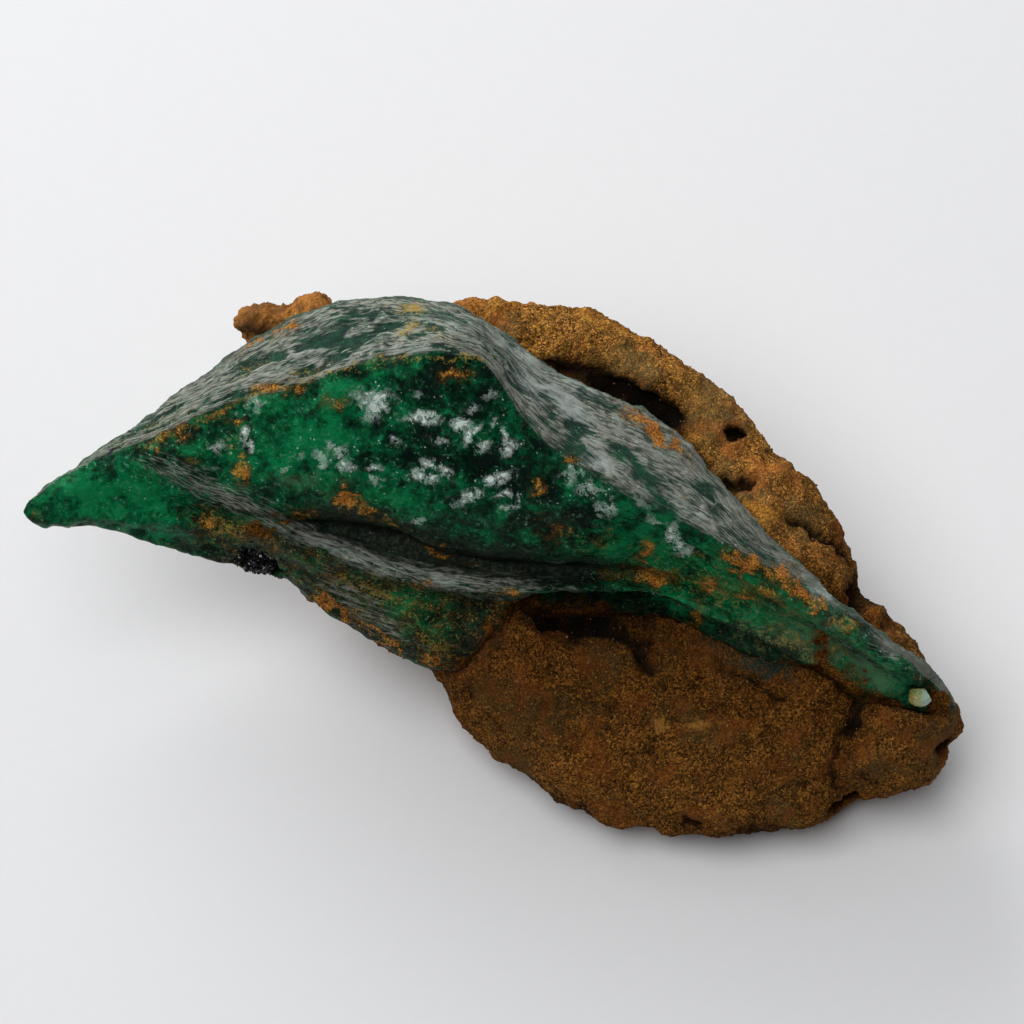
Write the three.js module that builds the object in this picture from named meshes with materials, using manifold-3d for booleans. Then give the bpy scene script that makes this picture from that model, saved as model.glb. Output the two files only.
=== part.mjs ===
// A rough emerald still held in its iron-stained matrix, lying as it rests on a table.
// Millimetres, +Z up. The stone's length runs along X, its front is towards -Y.
//
// Each big form is a loft: long lines run from the left end to the right end, and a closed
// ring passes through them at every station along X. A line that can be seen from above the
// front is given as the eye sees it: [across, up, height], where across and up lie in the
// picture of an eye that looks down at EYE_DEG, and height is over the table. A line that is
// hidden is given in place, as [x, y, z].

import * as THREE from "three";
import { mergeVertices } from "three/addons/utils/BufferGeometryUtils.js";
import { ImprovedNoise } from "three/addons/math/ImprovedNoise.js";
import Module from "manifold-3d";

const wasm = await Module();
wasm.setup();

const EYE_DEG = 65; // how far above the horizon the eye looks from
const GAP = 0.3; // kept between two pieces that touch
const SLIVER = 0.02; // detail finer than this is left out after a cut
const RING_SPAN = 3; // steps from one long line to the next
const RING_TENSION = 0.32; // 0 gives straight facets, 0.5 gives round ones

const EMERALD_STATIONS = 52;
const EMERALD_LUMPS = { size: 5.2, depth: 0.42 };
const EMERALD_PITS = { size: 2.1, depth: 0.16 };
const FACE_BULGE = 0.9; // how proud the front face stands of a flat one
const FLANK_BULGE = 0.35;
const REAR_BULGE = 1.4;

const MATRIX_STATIONS = 48;
const MATRIX_LUMPS = { size: 6.5, depth: 0.55 };
const MATRIX_PITS = { size: 2.3, depth: 0.28 };
const FOOT_INSET = 2.6; // the toe and heel stand out this far past the base
const FOOT_RISE = 1.1; // the base's rim is this much higher than its middle

const sinEye = Math.sin(THREE.MathUtils.degToRad(EYE_DEG));
const cosEye = Math.cos(THREE.MathUtils.degToRad(EYE_DEG));
const toEye = new THREE.Vector3(0, -cosEye, sinEye);

// Long lines of the emerald, as seen
const CREST = [
  [-31.1, 4.2, 13], [-30.4, 4.8, 13.2], [-28.5, 6, 14], [-25.3, 7.8, 16], [-22.7, 8.6, 17.5], [-20, 10, 19.2],
  [-17.3, 11.4, 20.6], [-13.3, 12.3, 22], [-9.3, 13.2, 23.5], [-6, 13.9, 24.8], [-2.7, 14.3, 26],
  [0, 13.4, 25.8], [2, 10.7, 25], [4.7, 7.8, 24], [7.3, 6.2, 23.3], [11.3, 4.3, 22],
  [14, 2.8, 21], [16.7, 1, 19.8], [19.3, -1.2, 18.3], [23.3, -4.2, 16], [27.3, -7, 13.5],
  [29.2, -8.1, 11.6], [31, -9, 9.4],
];
const BACK_EDGE = [
  [-31.1, 4.2, 13], [-30.4, 4.9, 13], [-28.7, 6.1, 13.5], [-26, 8, 14.5], [-22.7, 10.2, 15.8],
  [-19.3, 12.6, 17], [-16.7, 14.5, 18], [-12.7, 16.9, 19.5], [-10.7, 17.6, 20],
  [-7.3, 18.2, 20.5], [-4, 18.1, 21],
  [-1.3, 17.2, 21.2], [2, 15, 21], [4.7, 13, 20.3], [8.7, 11, 19.5], [12.7, 8.9, 18.5],
  [15.3, 6, 17.8], [18, 2.7, 16.8], [20.7, 0.3, 15.8], [23.3, -2, 14.6], [26, -4.3, 13.2],
  [29.3, -6.3, 11], [31, -8.8, 9.2],
];
const BROW = [
  [-31.1, 3.9, 13], [-30.4, 4.1, 13], [-28, 4.4, 13.3], [-24.7, 5, 14.5], [-21.3, 5.3, 15.5], [-18, 5, 16.3],
  [-13.3, 4.3, 16.8], [-9.3, 4, 17], [-6, 3.3, 16.8], [-2.7, 2, 16.5], [2, 1.3, 16],
  [6, 1.2, 15.8], [10, 1, 15.5], [14, -0.3, 15], [18, -2.2, 14], [22, -4.3, 12.8],
  [26, -6.6, 11.5], [29, -8.4, 10.2], [31, -9.1, 9.2],
];
const HOLLOW = [
  [-31.1, 3.7, 12.9], [-30.4, 3.6, 12.8], [-28, 3.8, 12.9], [-24.7, 3.8, 13.5], [-21.3, 4, 14], [-18, 3.7, 14],
  [-13.3, 3, 13.5], [-9.3, 2.7, 12.8], [-6, 2, 12.3], [-2.7, 1, 12], [2, 0.3, 11.8],
  [6, 0, 11.8], [10, -0.5, 12], [14, -1.8, 12.3], [18, -3.6, 12], [22, -5.4, 11.3],
  [26, -7.4, 10.5], [29, -8.8, 9.7], [31, -9.2, 9.1],
];
const LIP = [
  [-31.1, 3.6, 12.8], [-30.4, 3.2, 12.5], [-28, 3.3, 12.4], [-24.7, 2.9, 13], [-21.3, 3.2, 14], [-18, 3.2, 14.5],
  [-13.3, 1.8, 14.7], [-9.3, 0.8, 14.5], [-6, -0.1, 14.3], [-2.7, -0.9, 14], [2, -1.5, 13.7],
  [6, -1.5, 13.5], [10, -1.5, 13.3], [14, -2.6, 13], [18, -4.7, 12.3], [22, -6.4, 11.3],
  [26, -8.2, 10.2], [29, -9.1, 9.3], [31, -9.3, 8.9],
];
const CREASE = [
  [-31.1, 3.6, 12.7], [-30.4, 3.1, 12.2], [-28, 3.1, 11.9], [-24, 2.6, 12], [-19.3, 2, 12.3], [-13.3, 0.3, 12.3],
  [-9.3, -0.9, 11.8], [-6, -1.5, 11.3], [-2.7, -1.9, 11], [0.5, -2, 10.7], [4, -1.3, 10.5],
  [8, -1.3, 10.5], [12, -1.9, 10.4], [15, -3.4, 10.3], [20, -6, 9.5], [26, -8.7, 8.8],
  [29, -9.4, 8.7], [31, -9.4, 8.6],
];
const SHELF = [
  [-31.1, 3.6, 12.6], [-30.4, 3, 12], [-28, 3, 11.7], [-24, 2.4, 11.5], [-19.3, 1.6, 11.4], [-13.3, -0.3, 11.2],
  [-9.3, -2.4, 10.5], [-6, -3.6, 10.1], [-2.7, -4.6, 9.6], [0.5, -4.2, 9], [4, -2.6, 8.4],
  [8, -2.6, 8.2], [12, -3.2, 8.4], [15, -4.8, 8.6], [20, -7, 8.2], [26, -9.2, 8],
  [29, -9.6, 8.2], [31, -9.5, 8.4],
];
const SKIRT = [
  [-31.1, 3.6, 12.5], [-30.4, 3, 11.8], [-28, 2.95, 11.5], [-26, 3, 11], [-24, 2.3, 10.8], [-19.3, 1.1, 10.3],
  [-17.3, 0.5, 10], [-16, -0.2, 9.8], [-13.3, -0.7, 9.5], [-12, -1.9, 9], [-9.3, -3.7, 8],
  [-6, -5.7, 7], [-4, -6.5, 6.5], [-2.7, -6.9, 6], [0.5, -6, 5.6], [4, -4, 5.5],
  [8, -3.6, 5.5], [12, -4, 5.8], [15, -5.8, 6], [20, -8, 6.4], [26, -9.5, 7],
  [29, -9.8, 7.8], [31, -9.6, 8.2],
];
// The emerald's keel, in place: its lowest line, hidden underneath
const KEEL = [
  [-31.1, -1.5, 12.4], [-30.4, -1.2, 11.6], [-28, -0.5, 11], [-20, 1.5, 8.8], [-12, 1.5, 6.5], [-4, 0, 4.5],
  [6, -2.5, 3.5], [14, -5, 3.5], [22, -10.3, 4.8], [29, -13.6, 7.2], [31, -14.1, 8.2],
];

// Long lines of the matrix, as seen
const RIM_CREST = [
  [-13, 3.6, 6], [-10, 9.3, 7.5], [-6, 13.5, 10.5], [-3.3, 17.4, 14.3], [0, 18.1, 15],
  [3.7, 17.9, 14.8], [6.7, 17.4, 14.5], [8.7, 16.6, 14.2], [10.7, 15.5, 14], [13.3, 13.7, 13.5],
  [15.3, 12.8, 13.2], [16.9, 11.5, 12.9], [18, 9.6, 12.7], [19.3, 8, 12.5], [21.3, 6, 12],
  [22.9, 4.2, 11.6], [24, 2.2, 11], [24.7, 0, 10.6], [25.9, -1.7, 10.2], [28.1, -3.7, 9.4],
  [29, -5, 8.6], [30.2, -7, 7.5], [31, -8.8, 6.4], [31.4, -10.2, 5.5],
];
const RIM_INNER = [
  [-13, 3.4, 6], [-10, 8.6, 7.8], [-6, 12.5, 10.8], [-3.3, 16.6, 14.8], [0, 15.6, 15.4],
  [2, 14.7, 15.6], [4.7, 13.4, 15.2], [7.3, 12.7, 14.6], [10, 12, 14.2], [12.4, 10.2, 13.9],
  [14, 8.2, 14.6], [15.6, 6.2, 14.9], [18, 3.2, 14.7], [20.7, 0.6, 14], [23.3, -1.6, 12.9],
  [26, -3.9, 11.5], [28.7, -5.9, 9.3], [30.2, -7.7, 7.6], [31.4, -10.4, 5.4],
];
const RECESS = [
  [-13, -0.7, 6.5], [-12, -1.6, 7], [-9.3, -3.4, 6.3], [-6, -5.4, 5.6], [-4, -6.5, 5.2],
  [-2.7, -7, 6], [-0.7, -5.7, 8], [1, -4, 9.5], [2, -3.4, 10.1], [3.5, -3.6, 8.2],
  [4.7, -3.9, 7], [8.7, -3.9, 6.6], [11, -4.1, 7], [13.3, -4.8, 8.4], [18, -6, 9.2],
  [22, -7.3, 9.2], [25.3, -8.7, 8.8], [28, -9.2, 8.5], [30, -9.5, 7.4], [31.4, -10.5, 5.2],
];
const APRON_BROW = [
  [-13, -0.8, 6.2], [-12, -1.8, 6], [-9.3, -3.5, 5.5], [-6, -5.5, 5], [-4, -6.7, 4.7],
  [-2.5, -7.9, 5.3], [0, -6.5, 8], [2, -4, 10.2], [4.7, -4.9, 10], [8.7, -5.3, 9.8],
  [13.3, -5.9, 9.6], [18, -7.3, 9.2], [22, -8.8, 8.8], [25.3, -9.8, 8.6], [28, -10.3, 8],
  [30, -10.6, 6.8], [31.4, -10.8, 5],
];
const APRON_MID = [
  [-13, -0.9, 5.5], [-12, -1.9, 5.2], [-9.3, -3.6, 4.8], [-6, -5.6, 4.4], [-4, -6.8, 4.2],
  [-2, -9.1, 4.7], [0, -9.3, 6.2], [2, -8.5, 8.3], [4.7, -9.3, 8.3], [8.7, -10.3, 8],
  [13.3, -11.3, 7.8], [18, -12.2, 7.6], [22, -12.5, 7.4], [25.3, -12.5, 7.5], [28, -12.3, 6.8],
  [30, -12, 5.8], [31.4, -11, 4.7],
];
const TOE = [
  [-13, -1, 4.8], [-11.9, -1.9, 4.2], [-10.3, -2.7, 4], [-8.7, -3.6, 3.8], [-7.1, -4.6, 3.7],
  [-5.5, -5.8, 3.6], [-3.9, -6.7, 3.5], [-3.1, -8.2, 3.4], [-2.3, -9.8, 3.4], [-0.7, -11.5, 3.4],
  [0.9, -12.8, 3.4], [2.5, -13.5, 3.4], [4.1, -15.1, 3.3], [5.7, -16, 3.2], [7.3, -16.8, 3.1],
  [8.9, -17.3, 3], [12.1, -17.8, 3], [15.3, -18, 3], [18, -17.7, 3], [20.7, -17.4, 3],
  [23, -16.6, 3], [24.2, -15.7, 3.2], [26.5, -15.6, 3.6], [28.1, -15, 3.8], [29.7, -13.9, 4],
  [30.6, -12.5, 4.2], [31.4, -11.1, 4.5],
];
// Hidden lines of the matrix, in place
const GAP_FLOOR = [
  [-13, 1, 5.8], [-10, 5.8, 6.2], [-6, 8, 8], [-3.3, 9, 12], [0, 8.2, 13.6], [2, 7.4, 13.4],
  [4.7, 6.3, 11.6], [7.3, 5.4, 8.4], [10, 4.2, 8], [12.2, 2.7, 9.8], [14, 0.6, 13.2],
  [16, -1.6, 14], [18, -4, 14], [20.7, -6.3, 13.4], [23.3, -8.3, 12.2], [26, -10.4, 10.8],
  [28.7, -12.3, 8.4], [30.2, -13.6, 7], [31.4, -14.2, 5.2],
];
const SEAT = [
  [-13, 0, 6], [-10, 1, 9], [-6, 1, 10], [-2, 0, 11], [4, -1, 11], [10, -3, 11],
  [16, -6, 11], [22, -9.5, 10], [27, -12, 8.5], [30, -13.6, 7], [31.4, -14.3, 5.1],
];
const HEEL = [
  [-13, 1, 4.6], [-10, 6.5, 4.8], [-6, 10, 6], [-3.3, 12.3, 7], [0, 13.6, 7.5],
  [3.7, 13.3, 7.5], [6.7, 12.9, 7.3], [10.7, 11, 7], [13.3, 9.2, 6.8], [16.3, 7, 6.5],
  [19.3, 3.6, 6.3], [21.3, 1.3, 6], [24, -2.6, 5.8], [27, -7.4, 5.3], [28.8, -9.3, 5],
  [30.2, -12.6, 4.6], [31.4, -14.2, 4.4],
];
const BASE = [
  [-13, -1, 4.6], [-11, 0, 3], [-8, 0, 1.4], [-5, -0.5, 0.3], [-2, -1, -0.5],
  [4, -3, -0.7], [10, -4, -0.7], [16, -6, -0.7], [22, -9, -0.7], [26, -11.5, -0.3],
  [29, -13, 1], [30.5, -13.8, 2.6], [31.4, -14.2, 4.2],
];

// Creases and dents of the matrix as seen: a line from one place to another, with the width
// that it is cut to and its depth. A negative depth is a swelling.
const MATRIX_CREASES = [
  { from: [24.2, -8.6], to: [23.2, -12.8], width: 1.1, depth: 0.9 }, // parts the right lobe
  { from: [24.3, -15.4], to: [24.0, -17.5], width: 1.0, depth: 1.3 }, // its notch in the outline
  { from: [30.6, -12.2], to: [31.6, -11.8], width: 0.8, depth: 0.9 },
  { from: [20.0, 3.2], to: [24.0, 0.9], width: 0.9, depth: 0.9 }, // ledge in the rim
  { from: [20.5, 1.2], to: [23.8, -1.4], width: 1.2, depth: -0.5 },
  { from: [24.3, -1.4], to: [25.0, -3.2], width: 0.8, depth: 0.9 },
  { from: [15.9, 5.9], to: [16.9, 5.5], width: 1.0, depth: 1.0 },
  { from: [26.6, -11.0], to: [28.4, -12.6], width: 1.7, depth: -0.5 },
  { from: [11.0, -9.5], to: [16.0, -10.5], width: 2.6, depth: -0.4 },
  { from: [8.2, 16.4], to: [12.0, 13.6], width: 1.5, depth: -0.35 },
];

// The small hole in the rim: the way in, as seen, with its radius and depth
const RIM_HOLE = { at: [16.35, 9.05, 13.4], radius: 0.75, stretch: 1.35, depth: 2.4 };

// The clay nodule's lumps, as seen, with a radius each
const NODULE_LUMPS = [
  { at: [-15.8, 16.3, 15.2], radius: 1.4 },
  { at: [-14.7, 16.6, 15.4], radius: 1.35 },
  { at: [-13.5, 16.8, 16], radius: 1.2 },
  { at: [-12.4, 17.1, 16.7], radius: 1.2 },
  { at: [-11.5, 17.3, 17.4], radius: 1.05 },
  { at: [-15.6, 15.4, 14], radius: 1.5 },
  { at: [-14.2, 15.7, 14.4], radius: 1.6 },
  { at: [-12.7, 16.1, 15.3], radius: 1.5 },
];

// The black crystals: six-sided plates that fan from one root at the emerald's lower edge
const BLACK_ROOT = { at: [-15.1, 0.75, 11.2], pocket: 1.2 };
const BLACK_PLATES = { count: 7, radius: 0.8, thickness: 0.55, spread: 0.62 };

const KNOB = { at: [28.6, -8.3, 10.9], radius: 0.85 };

const noise = new ImprovedNoise();

const seen = ([across, up, height]) =>
  new THREE.Vector3(across, (up - height * cosEye) / sinEye, height);
const placed = ([x, y, z]) => new THREE.Vector3(x, y, z);

// The way back from a point in place to the picture
const picture = (point) => new THREE.Vector2(point.x, point.y * sinEye + point.z * cosEye);

// A long line as a function of x, smooth through the given points
function line(points, place) {
  const stations = points.map((p) => p[0]);
  const values = points.flatMap((p) => [p[1], p[2]]);
  const spline = new THREE.CubicInterpolant(stations, values, 2, new Float64Array(2));
  return (x) => place([x, ...spline.evaluate(x)]);
}

const between = (a, b, share) => (x) => a(x).lerp(b(x), share);

// A line moved by `reach` in a direction, most in the middle of the stone and not at its ends
function swollen(base, direction, reach, [start, end]) {
  return (x) => {
    const share = Math.sin((Math.PI * (x - start)) / (end - start));
    return base(x).addScaledVector(direction, reach * Math.sqrt(Math.max(0, share)));
  };
}

// A closed skin through the lines, in rings from the first station to the last
function loft(lines, stations, [start, end]) {
  const ringSize = lines.length * RING_SPAN;
  const positions = [];
  const faces = [];
  const ends = [new THREE.Vector3(), new THREE.Vector3()];
  for (let s = 0; s < stations; s++) {
    // Stations crowd towards both ends, where the stone turns fastest
    const even = (s + 0.5) / stations;
    const share = THREE.MathUtils.lerp(even, (1 - Math.cos(Math.PI * even)) / 2, 0.35);
    const x = THREE.MathUtils.lerp(start, end, share);
    const knots = lines.map((at) => at(x));
    const ring = new THREE.CatmullRomCurve3(knots, true, "catmullrom", RING_TENSION);
    for (let i = 0; i < ringSize; i++) positions.push(...ring.getPoint(i / ringSize));
  }
  lines.forEach((at) => {
    ends[0].addScaledVector(at(start), 1 / lines.length);
    ends[1].addScaledVector(at(end), 1 / lines.length);
  });
  positions.push(...ends[0], ...ends[1]);
  const first = stations * ringSize;
  for (let i = 0; i < ringSize; i++) {
    const next = (i + 1) % ringSize;
    faces.push(first, next, i);
    for (let s = 0; s + 1 < stations; s++) {
      const [a, b] = [s * ringSize + i, s * ringSize + next];
      const [c, d] = [a + ringSize, b + ringSize];
      faces.push(a, b, d, a, d, c);
    }
    const last = (stations - 1) * ringSize;
    faces.push(first + 1, last + i, last + next);
  }
  const geometry = new THREE.BufferGeometry();
  geometry.setAttribute("position", new THREE.Float32BufferAttribute(positions, 3));
  geometry.setIndex(faces);
  return geometry;
}

const relief = (point, { size, depth }, offset = 0) =>
  depth * noise.noise(point.x / size + offset, point.y / size - offset, point.z / size + 7.3);

// Moves every vertex along its normal by what `height(point, normal)` gives
function raise(geometry, height) {
  geometry.computeVertexNormals();
  const position = geometry.getAttribute("position");
  const normal = geometry.getAttribute("normal");
  const point = new THREE.Vector3();
  const out = new THREE.Vector3();
  for (let i = 0; i < position.count; i++) {
    point.fromBufferAttribute(position, i);
    out.fromBufferAttribute(normal, i);
    point.addScaledVector(out, height(point, out));
    position.setXYZ(i, ...point);
  }
  return geometry;
}

function toSolid(geometry) {
  const bare = new THREE.BufferGeometry();
  bare.setAttribute("position", geometry.getAttribute("position").clone());
  bare.setIndex(geometry.index);
  const merged = mergeVertices(bare, 1e-4);
  const mesh = new wasm.Mesh({
    numProp: 3,
    vertProperties: new Float32Array(merged.getAttribute("position").array),
    triVerts: new Uint32Array(merged.index.array),
  });
  return new wasm.Manifold(mesh);
}

function toGeometry(solid) {
  const { vertProperties, triVerts } = solid.getMesh();
  const geometry = new THREE.BufferGeometry();
  geometry.setAttribute("position", new THREE.BufferAttribute(vertProperties, 3));
  geometry.setIndex(new THREE.BufferAttribute(triVerts, 1));
  return geometry;
}

// A lumpy ball; `grow` makes the larger copy that cuts room for it
function lump(at, radius, grow = 0, detail = 2) {
  const centre = seen(at);
  const ball = new THREE.IcosahedronGeometry(radius, detail);
  ball.deleteAttribute("normal");
  ball.deleteAttribute("uv");
  const skin = mergeVertices(ball).translate(...centre);
  return toSolid(raise(skin, (p) => relief(p, { size: 1.1, depth: 0.28 * radius }) + grow));
}

function emeraldSkin(grow) {
  const ends = [-31.1, 31];
  const [crest, backEdge, brow] = [CREST, BACK_EDGE, BROW].map((l) => line(l, seen));
  const [hollow, lip, crease, shelf] = [HOLLOW, LIP, CREASE, SHELF].map((l) => line(l, seen));
  const skirt = line(SKIRT, seen);
  const keel = line(KEEL, placed);
  const face = swollen(between(crest, brow, 0.5), toEye, FACE_BULGE, ends);
  const flank = swollen(between(crest, backEdge, 0.5), toEye, FLANK_BULGE, ends);
  const rear = swollen(between(backEdge, keel, 0.4), new THREE.Vector3(0, 1, 0), REAR_BULGE, ends);
  const lines = [crest, face, brow, hollow, lip, crease, shelf, skirt, keel, rear, backEdge, flank];
  const skin = loft(lines, EMERALD_STATIONS, ends);
  return raise(skin, (p) => {
    const fade = THREE.MathUtils.smoothstep(Math.min(p.x - ends[0], ends[1] - p.x), 0, 4);
    return grow + fade * (relief(p, EMERALD_LUMPS) + relief(p, EMERALD_PITS, 3.7));
  });
}

// How deep the creases cut at a point that faces the eye
function creaseDepth(point, normal) {
  const facing = THREE.MathUtils.smoothstep(normal.dot(toEye), -0.2, 0.25);
  const here = picture(point);
  return MATRIX_CREASES.reduce((sum, { from, to, width, depth }) => {
    const start = new THREE.Vector2(...from);
    const along = new THREE.Vector2(...to).sub(start);
    const share = here.clone().sub(start).dot(along) / along.lengthSq();
    const nearest = start.addScaledVector(along, THREE.MathUtils.clamp(share, 0, 1));
    return sum + facing * depth * Math.exp(-((here.distanceTo(nearest) / width) ** 2));
  }, 0);
}

function matrixSkin() {
  const ends = [-13, 31.4];
  const [rimCrest, rimInner, recess] = [RIM_CREST, RIM_INNER, RECESS].map((l) => line(l, seen));
  const [brow, mid, toe] = [APRON_BROW, APRON_MID, TOE].map((l) => line(l, seen));
  const [gapFloor, seat, heel, base] = [GAP_FLOOR, SEAT, HEEL, BASE].map((l) => line(l, placed));
  const foot = (above, inset) => (x) => {
    const point = above(x);
    point.y += THREE.MathUtils.clamp(base(x).y - point.y, -inset, inset);
    point.z = Math.min(point.z - 0.2, base(x).z + FOOT_RISE);
    return point;
  };
  const frontFoot = foot(toe, FOOT_INSET);
  const backFoot = foot(heel, FOOT_INSET);
  const lines = [
    rimCrest, rimInner, gapFloor, seat, recess, brow, mid, toe, frontFoot, base, backFoot, heel,
  ];
  const skin = loft(lines, MATRIX_STATIONS, ends);
  return raise(skin, (p, n) => {
    const rough = relief(p, MATRIX_LUMPS, 1.9) + relief(p, MATRIX_PITS, 5.1);
    return rough - creaseDepth(p, n);
  });
}

function rimHole() {
  const { at, radius, stretch, depth } = RIM_HOLE;
  const shaft = new THREE.CylinderGeometry(radius, radius * 0.5, depth * 2, 10);
  shaft.scale(stretch, 1, 1).rotateX(Math.PI / 2);
  shaft.lookAt(toEye).translate(...seen(at));
  return toSolid(shaft);
}

// The cluster of black plates, each turned about the root and leaning outwards
function blackPlates() {
  const { count, radius, thickness, spread } = BLACK_PLATES;
  const root = seen(BLACK_ROOT.at);
  const outward = new THREE.Vector3(-0.1, -0.8, 0.6).normalize();
  const plates = Array.from({ length: count }, (_, i) => {
    const turn = (2 * Math.PI * i) / count;
    const reach = i === 0 ? 0 : spread;
    const plate = new THREE.CylinderGeometry(radius, radius, thickness, 6);
    plate.rotateZ(0.5 * Math.sin(2.4 * i)).rotateY(turn);
    plate.translate(reach * Math.cos(turn), 0, reach * Math.sin(turn));
    const facing = new THREE.Quaternion().setFromUnitVectors(new THREE.Vector3(0, 1, 0), outward);
    plate.applyQuaternion(facing).translate(...root);
    return toSolid(plate);
  });
  return plates.reduce((all, plate) => all.add(plate));
}

function blackPocket() {
  const { at, pocket } = BLACK_ROOT;
  const ball = new THREE.IcosahedronGeometry(pocket + GAP, 2);
  return toSolid(ball.translate(...seen(at)));
}

const tabletop = toSolid(new THREE.BoxGeometry(200, 200, 40).translate(0, 0, -20));
const emeraldRoom = toSolid(emeraldSkin(GAP));
const knobRoom = lump(KNOB.at, KNOB.radius, GAP);

const blackCrystals = blackPlates();
const paleKnob = lump(KNOB.at, KNOB.radius);
const emerald = toSolid(emeraldSkin(0)).subtract(blackPocket()).subtract(knobRoom);
const matrix = toSolid(matrixSkin())
  .subtract(emeraldRoom)
  .subtract(knobRoom)
  .subtract(rimHole())
  .subtract(tabletop);
const nodule = NODULE_LUMPS.map(({ at, radius }) => lump(at, radius, 0, 1))
  .reduce((all, one) => all.add(one))
  .subtract(emeraldRoom);

const biggest = (solid) => {
  const bodies = solid.decompose();
  return bodies.reduce((best, one) => (one.volume() > best.volume() ? one : best));
};

const LOOKS = {
  emerald: { color: 0x0b6b42, roughness: 0.25, metalness: 0 },
  matrix: { color: 0x6b4a26, roughness: 0.95, metalness: 0 },
  clay_nodule: { color: 0xa86a25, roughness: 0.95, metalness: 0 },
  black_crystals: { color: 0x14161a, roughness: 0.3, metalness: 0 },
  pale_knob: { color: 0xb9d39a, roughness: 0.2, metalness: 0 },
};

const group = new THREE.Group();
const solids = {
  emerald,
  matrix,
  clay_nodule: nodule,
  black_crystals: blackCrystals,
  pale_knob: paleKnob,
};
for (const [name, solid] of Object.entries(solids)) {
  const material = new THREE.MeshStandardMaterial(LOOKS[name]);
  const mesh = new THREE.Mesh(toGeometry(biggest(solid).simplify(SLIVER)), material);
  mesh.name = name;
  group.add(mesh);
}

// The origin is under the middle of the whole stone, on the table
const extent = new THREE.Box3().setFromObject(group);
const middle = extent.getCenter(new THREE.Vector3());
group.position.set(-middle.x, -middle.y, -extent.min.z);

export default group;
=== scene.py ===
"""A rough emerald in its iron-stained matrix, on a pale table in soft daylight."""

import math
import random

import bmesh
import bpy
import numpy as np
from bpy.props import FloatProperty, FloatVectorProperty, IntProperty, PointerProperty
from mathutils import Matrix, Vector, noise
from mathutils.bvhtree import BVHTree


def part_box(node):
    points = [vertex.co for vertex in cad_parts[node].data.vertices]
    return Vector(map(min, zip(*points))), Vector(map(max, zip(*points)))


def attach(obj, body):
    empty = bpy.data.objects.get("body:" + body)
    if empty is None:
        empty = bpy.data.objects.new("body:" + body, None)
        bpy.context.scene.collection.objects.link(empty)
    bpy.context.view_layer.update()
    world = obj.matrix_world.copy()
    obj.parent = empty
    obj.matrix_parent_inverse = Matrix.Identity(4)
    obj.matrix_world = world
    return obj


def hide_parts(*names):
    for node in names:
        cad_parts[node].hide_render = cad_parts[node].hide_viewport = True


bl_info = {
    "name": "Rough emerald in matrix",
    "version": (1, 0, 0),
    "blender": (4, 5, 0),
    "location": "3D View > Sidebar > Emerald",
    "description": "Models and dresses a rough emerald that is still held in its matrix",
    "category": "Object",
}

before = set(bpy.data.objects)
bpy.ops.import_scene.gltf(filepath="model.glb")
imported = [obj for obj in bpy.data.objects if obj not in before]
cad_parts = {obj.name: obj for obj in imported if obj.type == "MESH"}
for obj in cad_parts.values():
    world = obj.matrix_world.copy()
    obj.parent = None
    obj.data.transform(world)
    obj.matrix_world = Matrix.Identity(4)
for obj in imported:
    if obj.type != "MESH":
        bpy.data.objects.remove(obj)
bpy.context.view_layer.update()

MM = 0.001

# The eye looks down at the stone from the front
EYE_DEG = 65.0
EYE_DISTANCE = 600 * MM
EYE_TARGET = Vector((1.31, 3.09, 10.70)) * MM
FRAME_WIDTH = 68.27 * MM
SENSOR_MM = 36.0
PICTURE_PX = 1024
TO_EYE = Vector((0, -math.cos(math.radians(EYE_DEG)), math.sin(math.radians(EYE_DEG))))
EYE_UP = Vector((0, math.sin(math.radians(EYE_DEG)), math.cos(math.radians(EYE_DEG))))

# The room is darker behind the eye than behind the stone. A lamp is its name, azimuth and
# height in degrees, distance and size in metres, and power in watts.
ROOM_DARK = 0.03
ROOM_LIGHT = 0.43
LAMPS = [("Window", 120, 20, 0.38, 0.30, 1.27), ("Ceiling", 200, 70, 1.0, 0.9, 7.03)]

# Marks are placed in the picture's pixels. A line is a row of points from left to right. A
# spot is x, y, half width, half height, the turn in degrees clockwise, and its strength.
# Noise from a fixed seed makes their outlines ragged, the same in every run.
OUTLINE_SEED = 1

# The crest over the front face, the flank's far edge behind it, and the lip under the face
CREST_LINE = [
    (23, 506), (62, 478), (100, 458), (155, 437), (205, 414), (240, 401), (305, 387), (380, 361),
    (440, 353), (480, 360), (500, 382), (520, 417), (540, 440), (560, 457), (600, 482), (652, 510),
    (700, 533), (743, 556), (808, 588), (858, 624), (900, 655), (957, 706),
]
BACK_LINE = [
    (23, 500), (48, 478), (96, 444), (144, 413), (192, 381), (240, 350), (290, 320), (330, 303),
    (385, 296), (430, 300), (470, 317), (500, 338), (540, 373), (580, 391), (620, 408), (660, 424),
    (690, 440), (720, 478), (745, 513), (775, 543), (800, 563), (840, 590), (870, 612), (900, 645),
    (930, 673), (957, 700),
]
LIP_LINE = [
    (110, 452), (150, 470), (200, 492), (245, 508), (292, 529), (361, 556), (430, 579), (498, 584),
    (570, 589), (640, 610), (700, 628), (760, 648), (830, 672), (900, 698),
]
LIP_HALF_WIDTH = 12

# From which column to which a mark begins or fades along the stone, and the same for rows
LIP_RISES = (110, 330)
LOWER_FACET_STARTS = (150, 230)
LIP_FADES = (470, 620)
ISLANDS_FADE = (470, 560)
RIGHT_FLANK_STARTS = (470, 580)
SHEEN_FADES = (575, 625)
FAINTER_MUD_AND_SHADE_STARTS = (660, 720)
RIM_FADES = (740, 860)
SKIN_AND_SHEEN_FADES = (800, 860)
BLUNT_END_STARTS = (850, 900)
FRONT_BASE_ROWS = (680, 800)

# The stone's middle, and how many columns beside it the two tips begin
MIDDLE_COLUMN = 490
TIPS_BEYOND = (440, 470)

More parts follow.
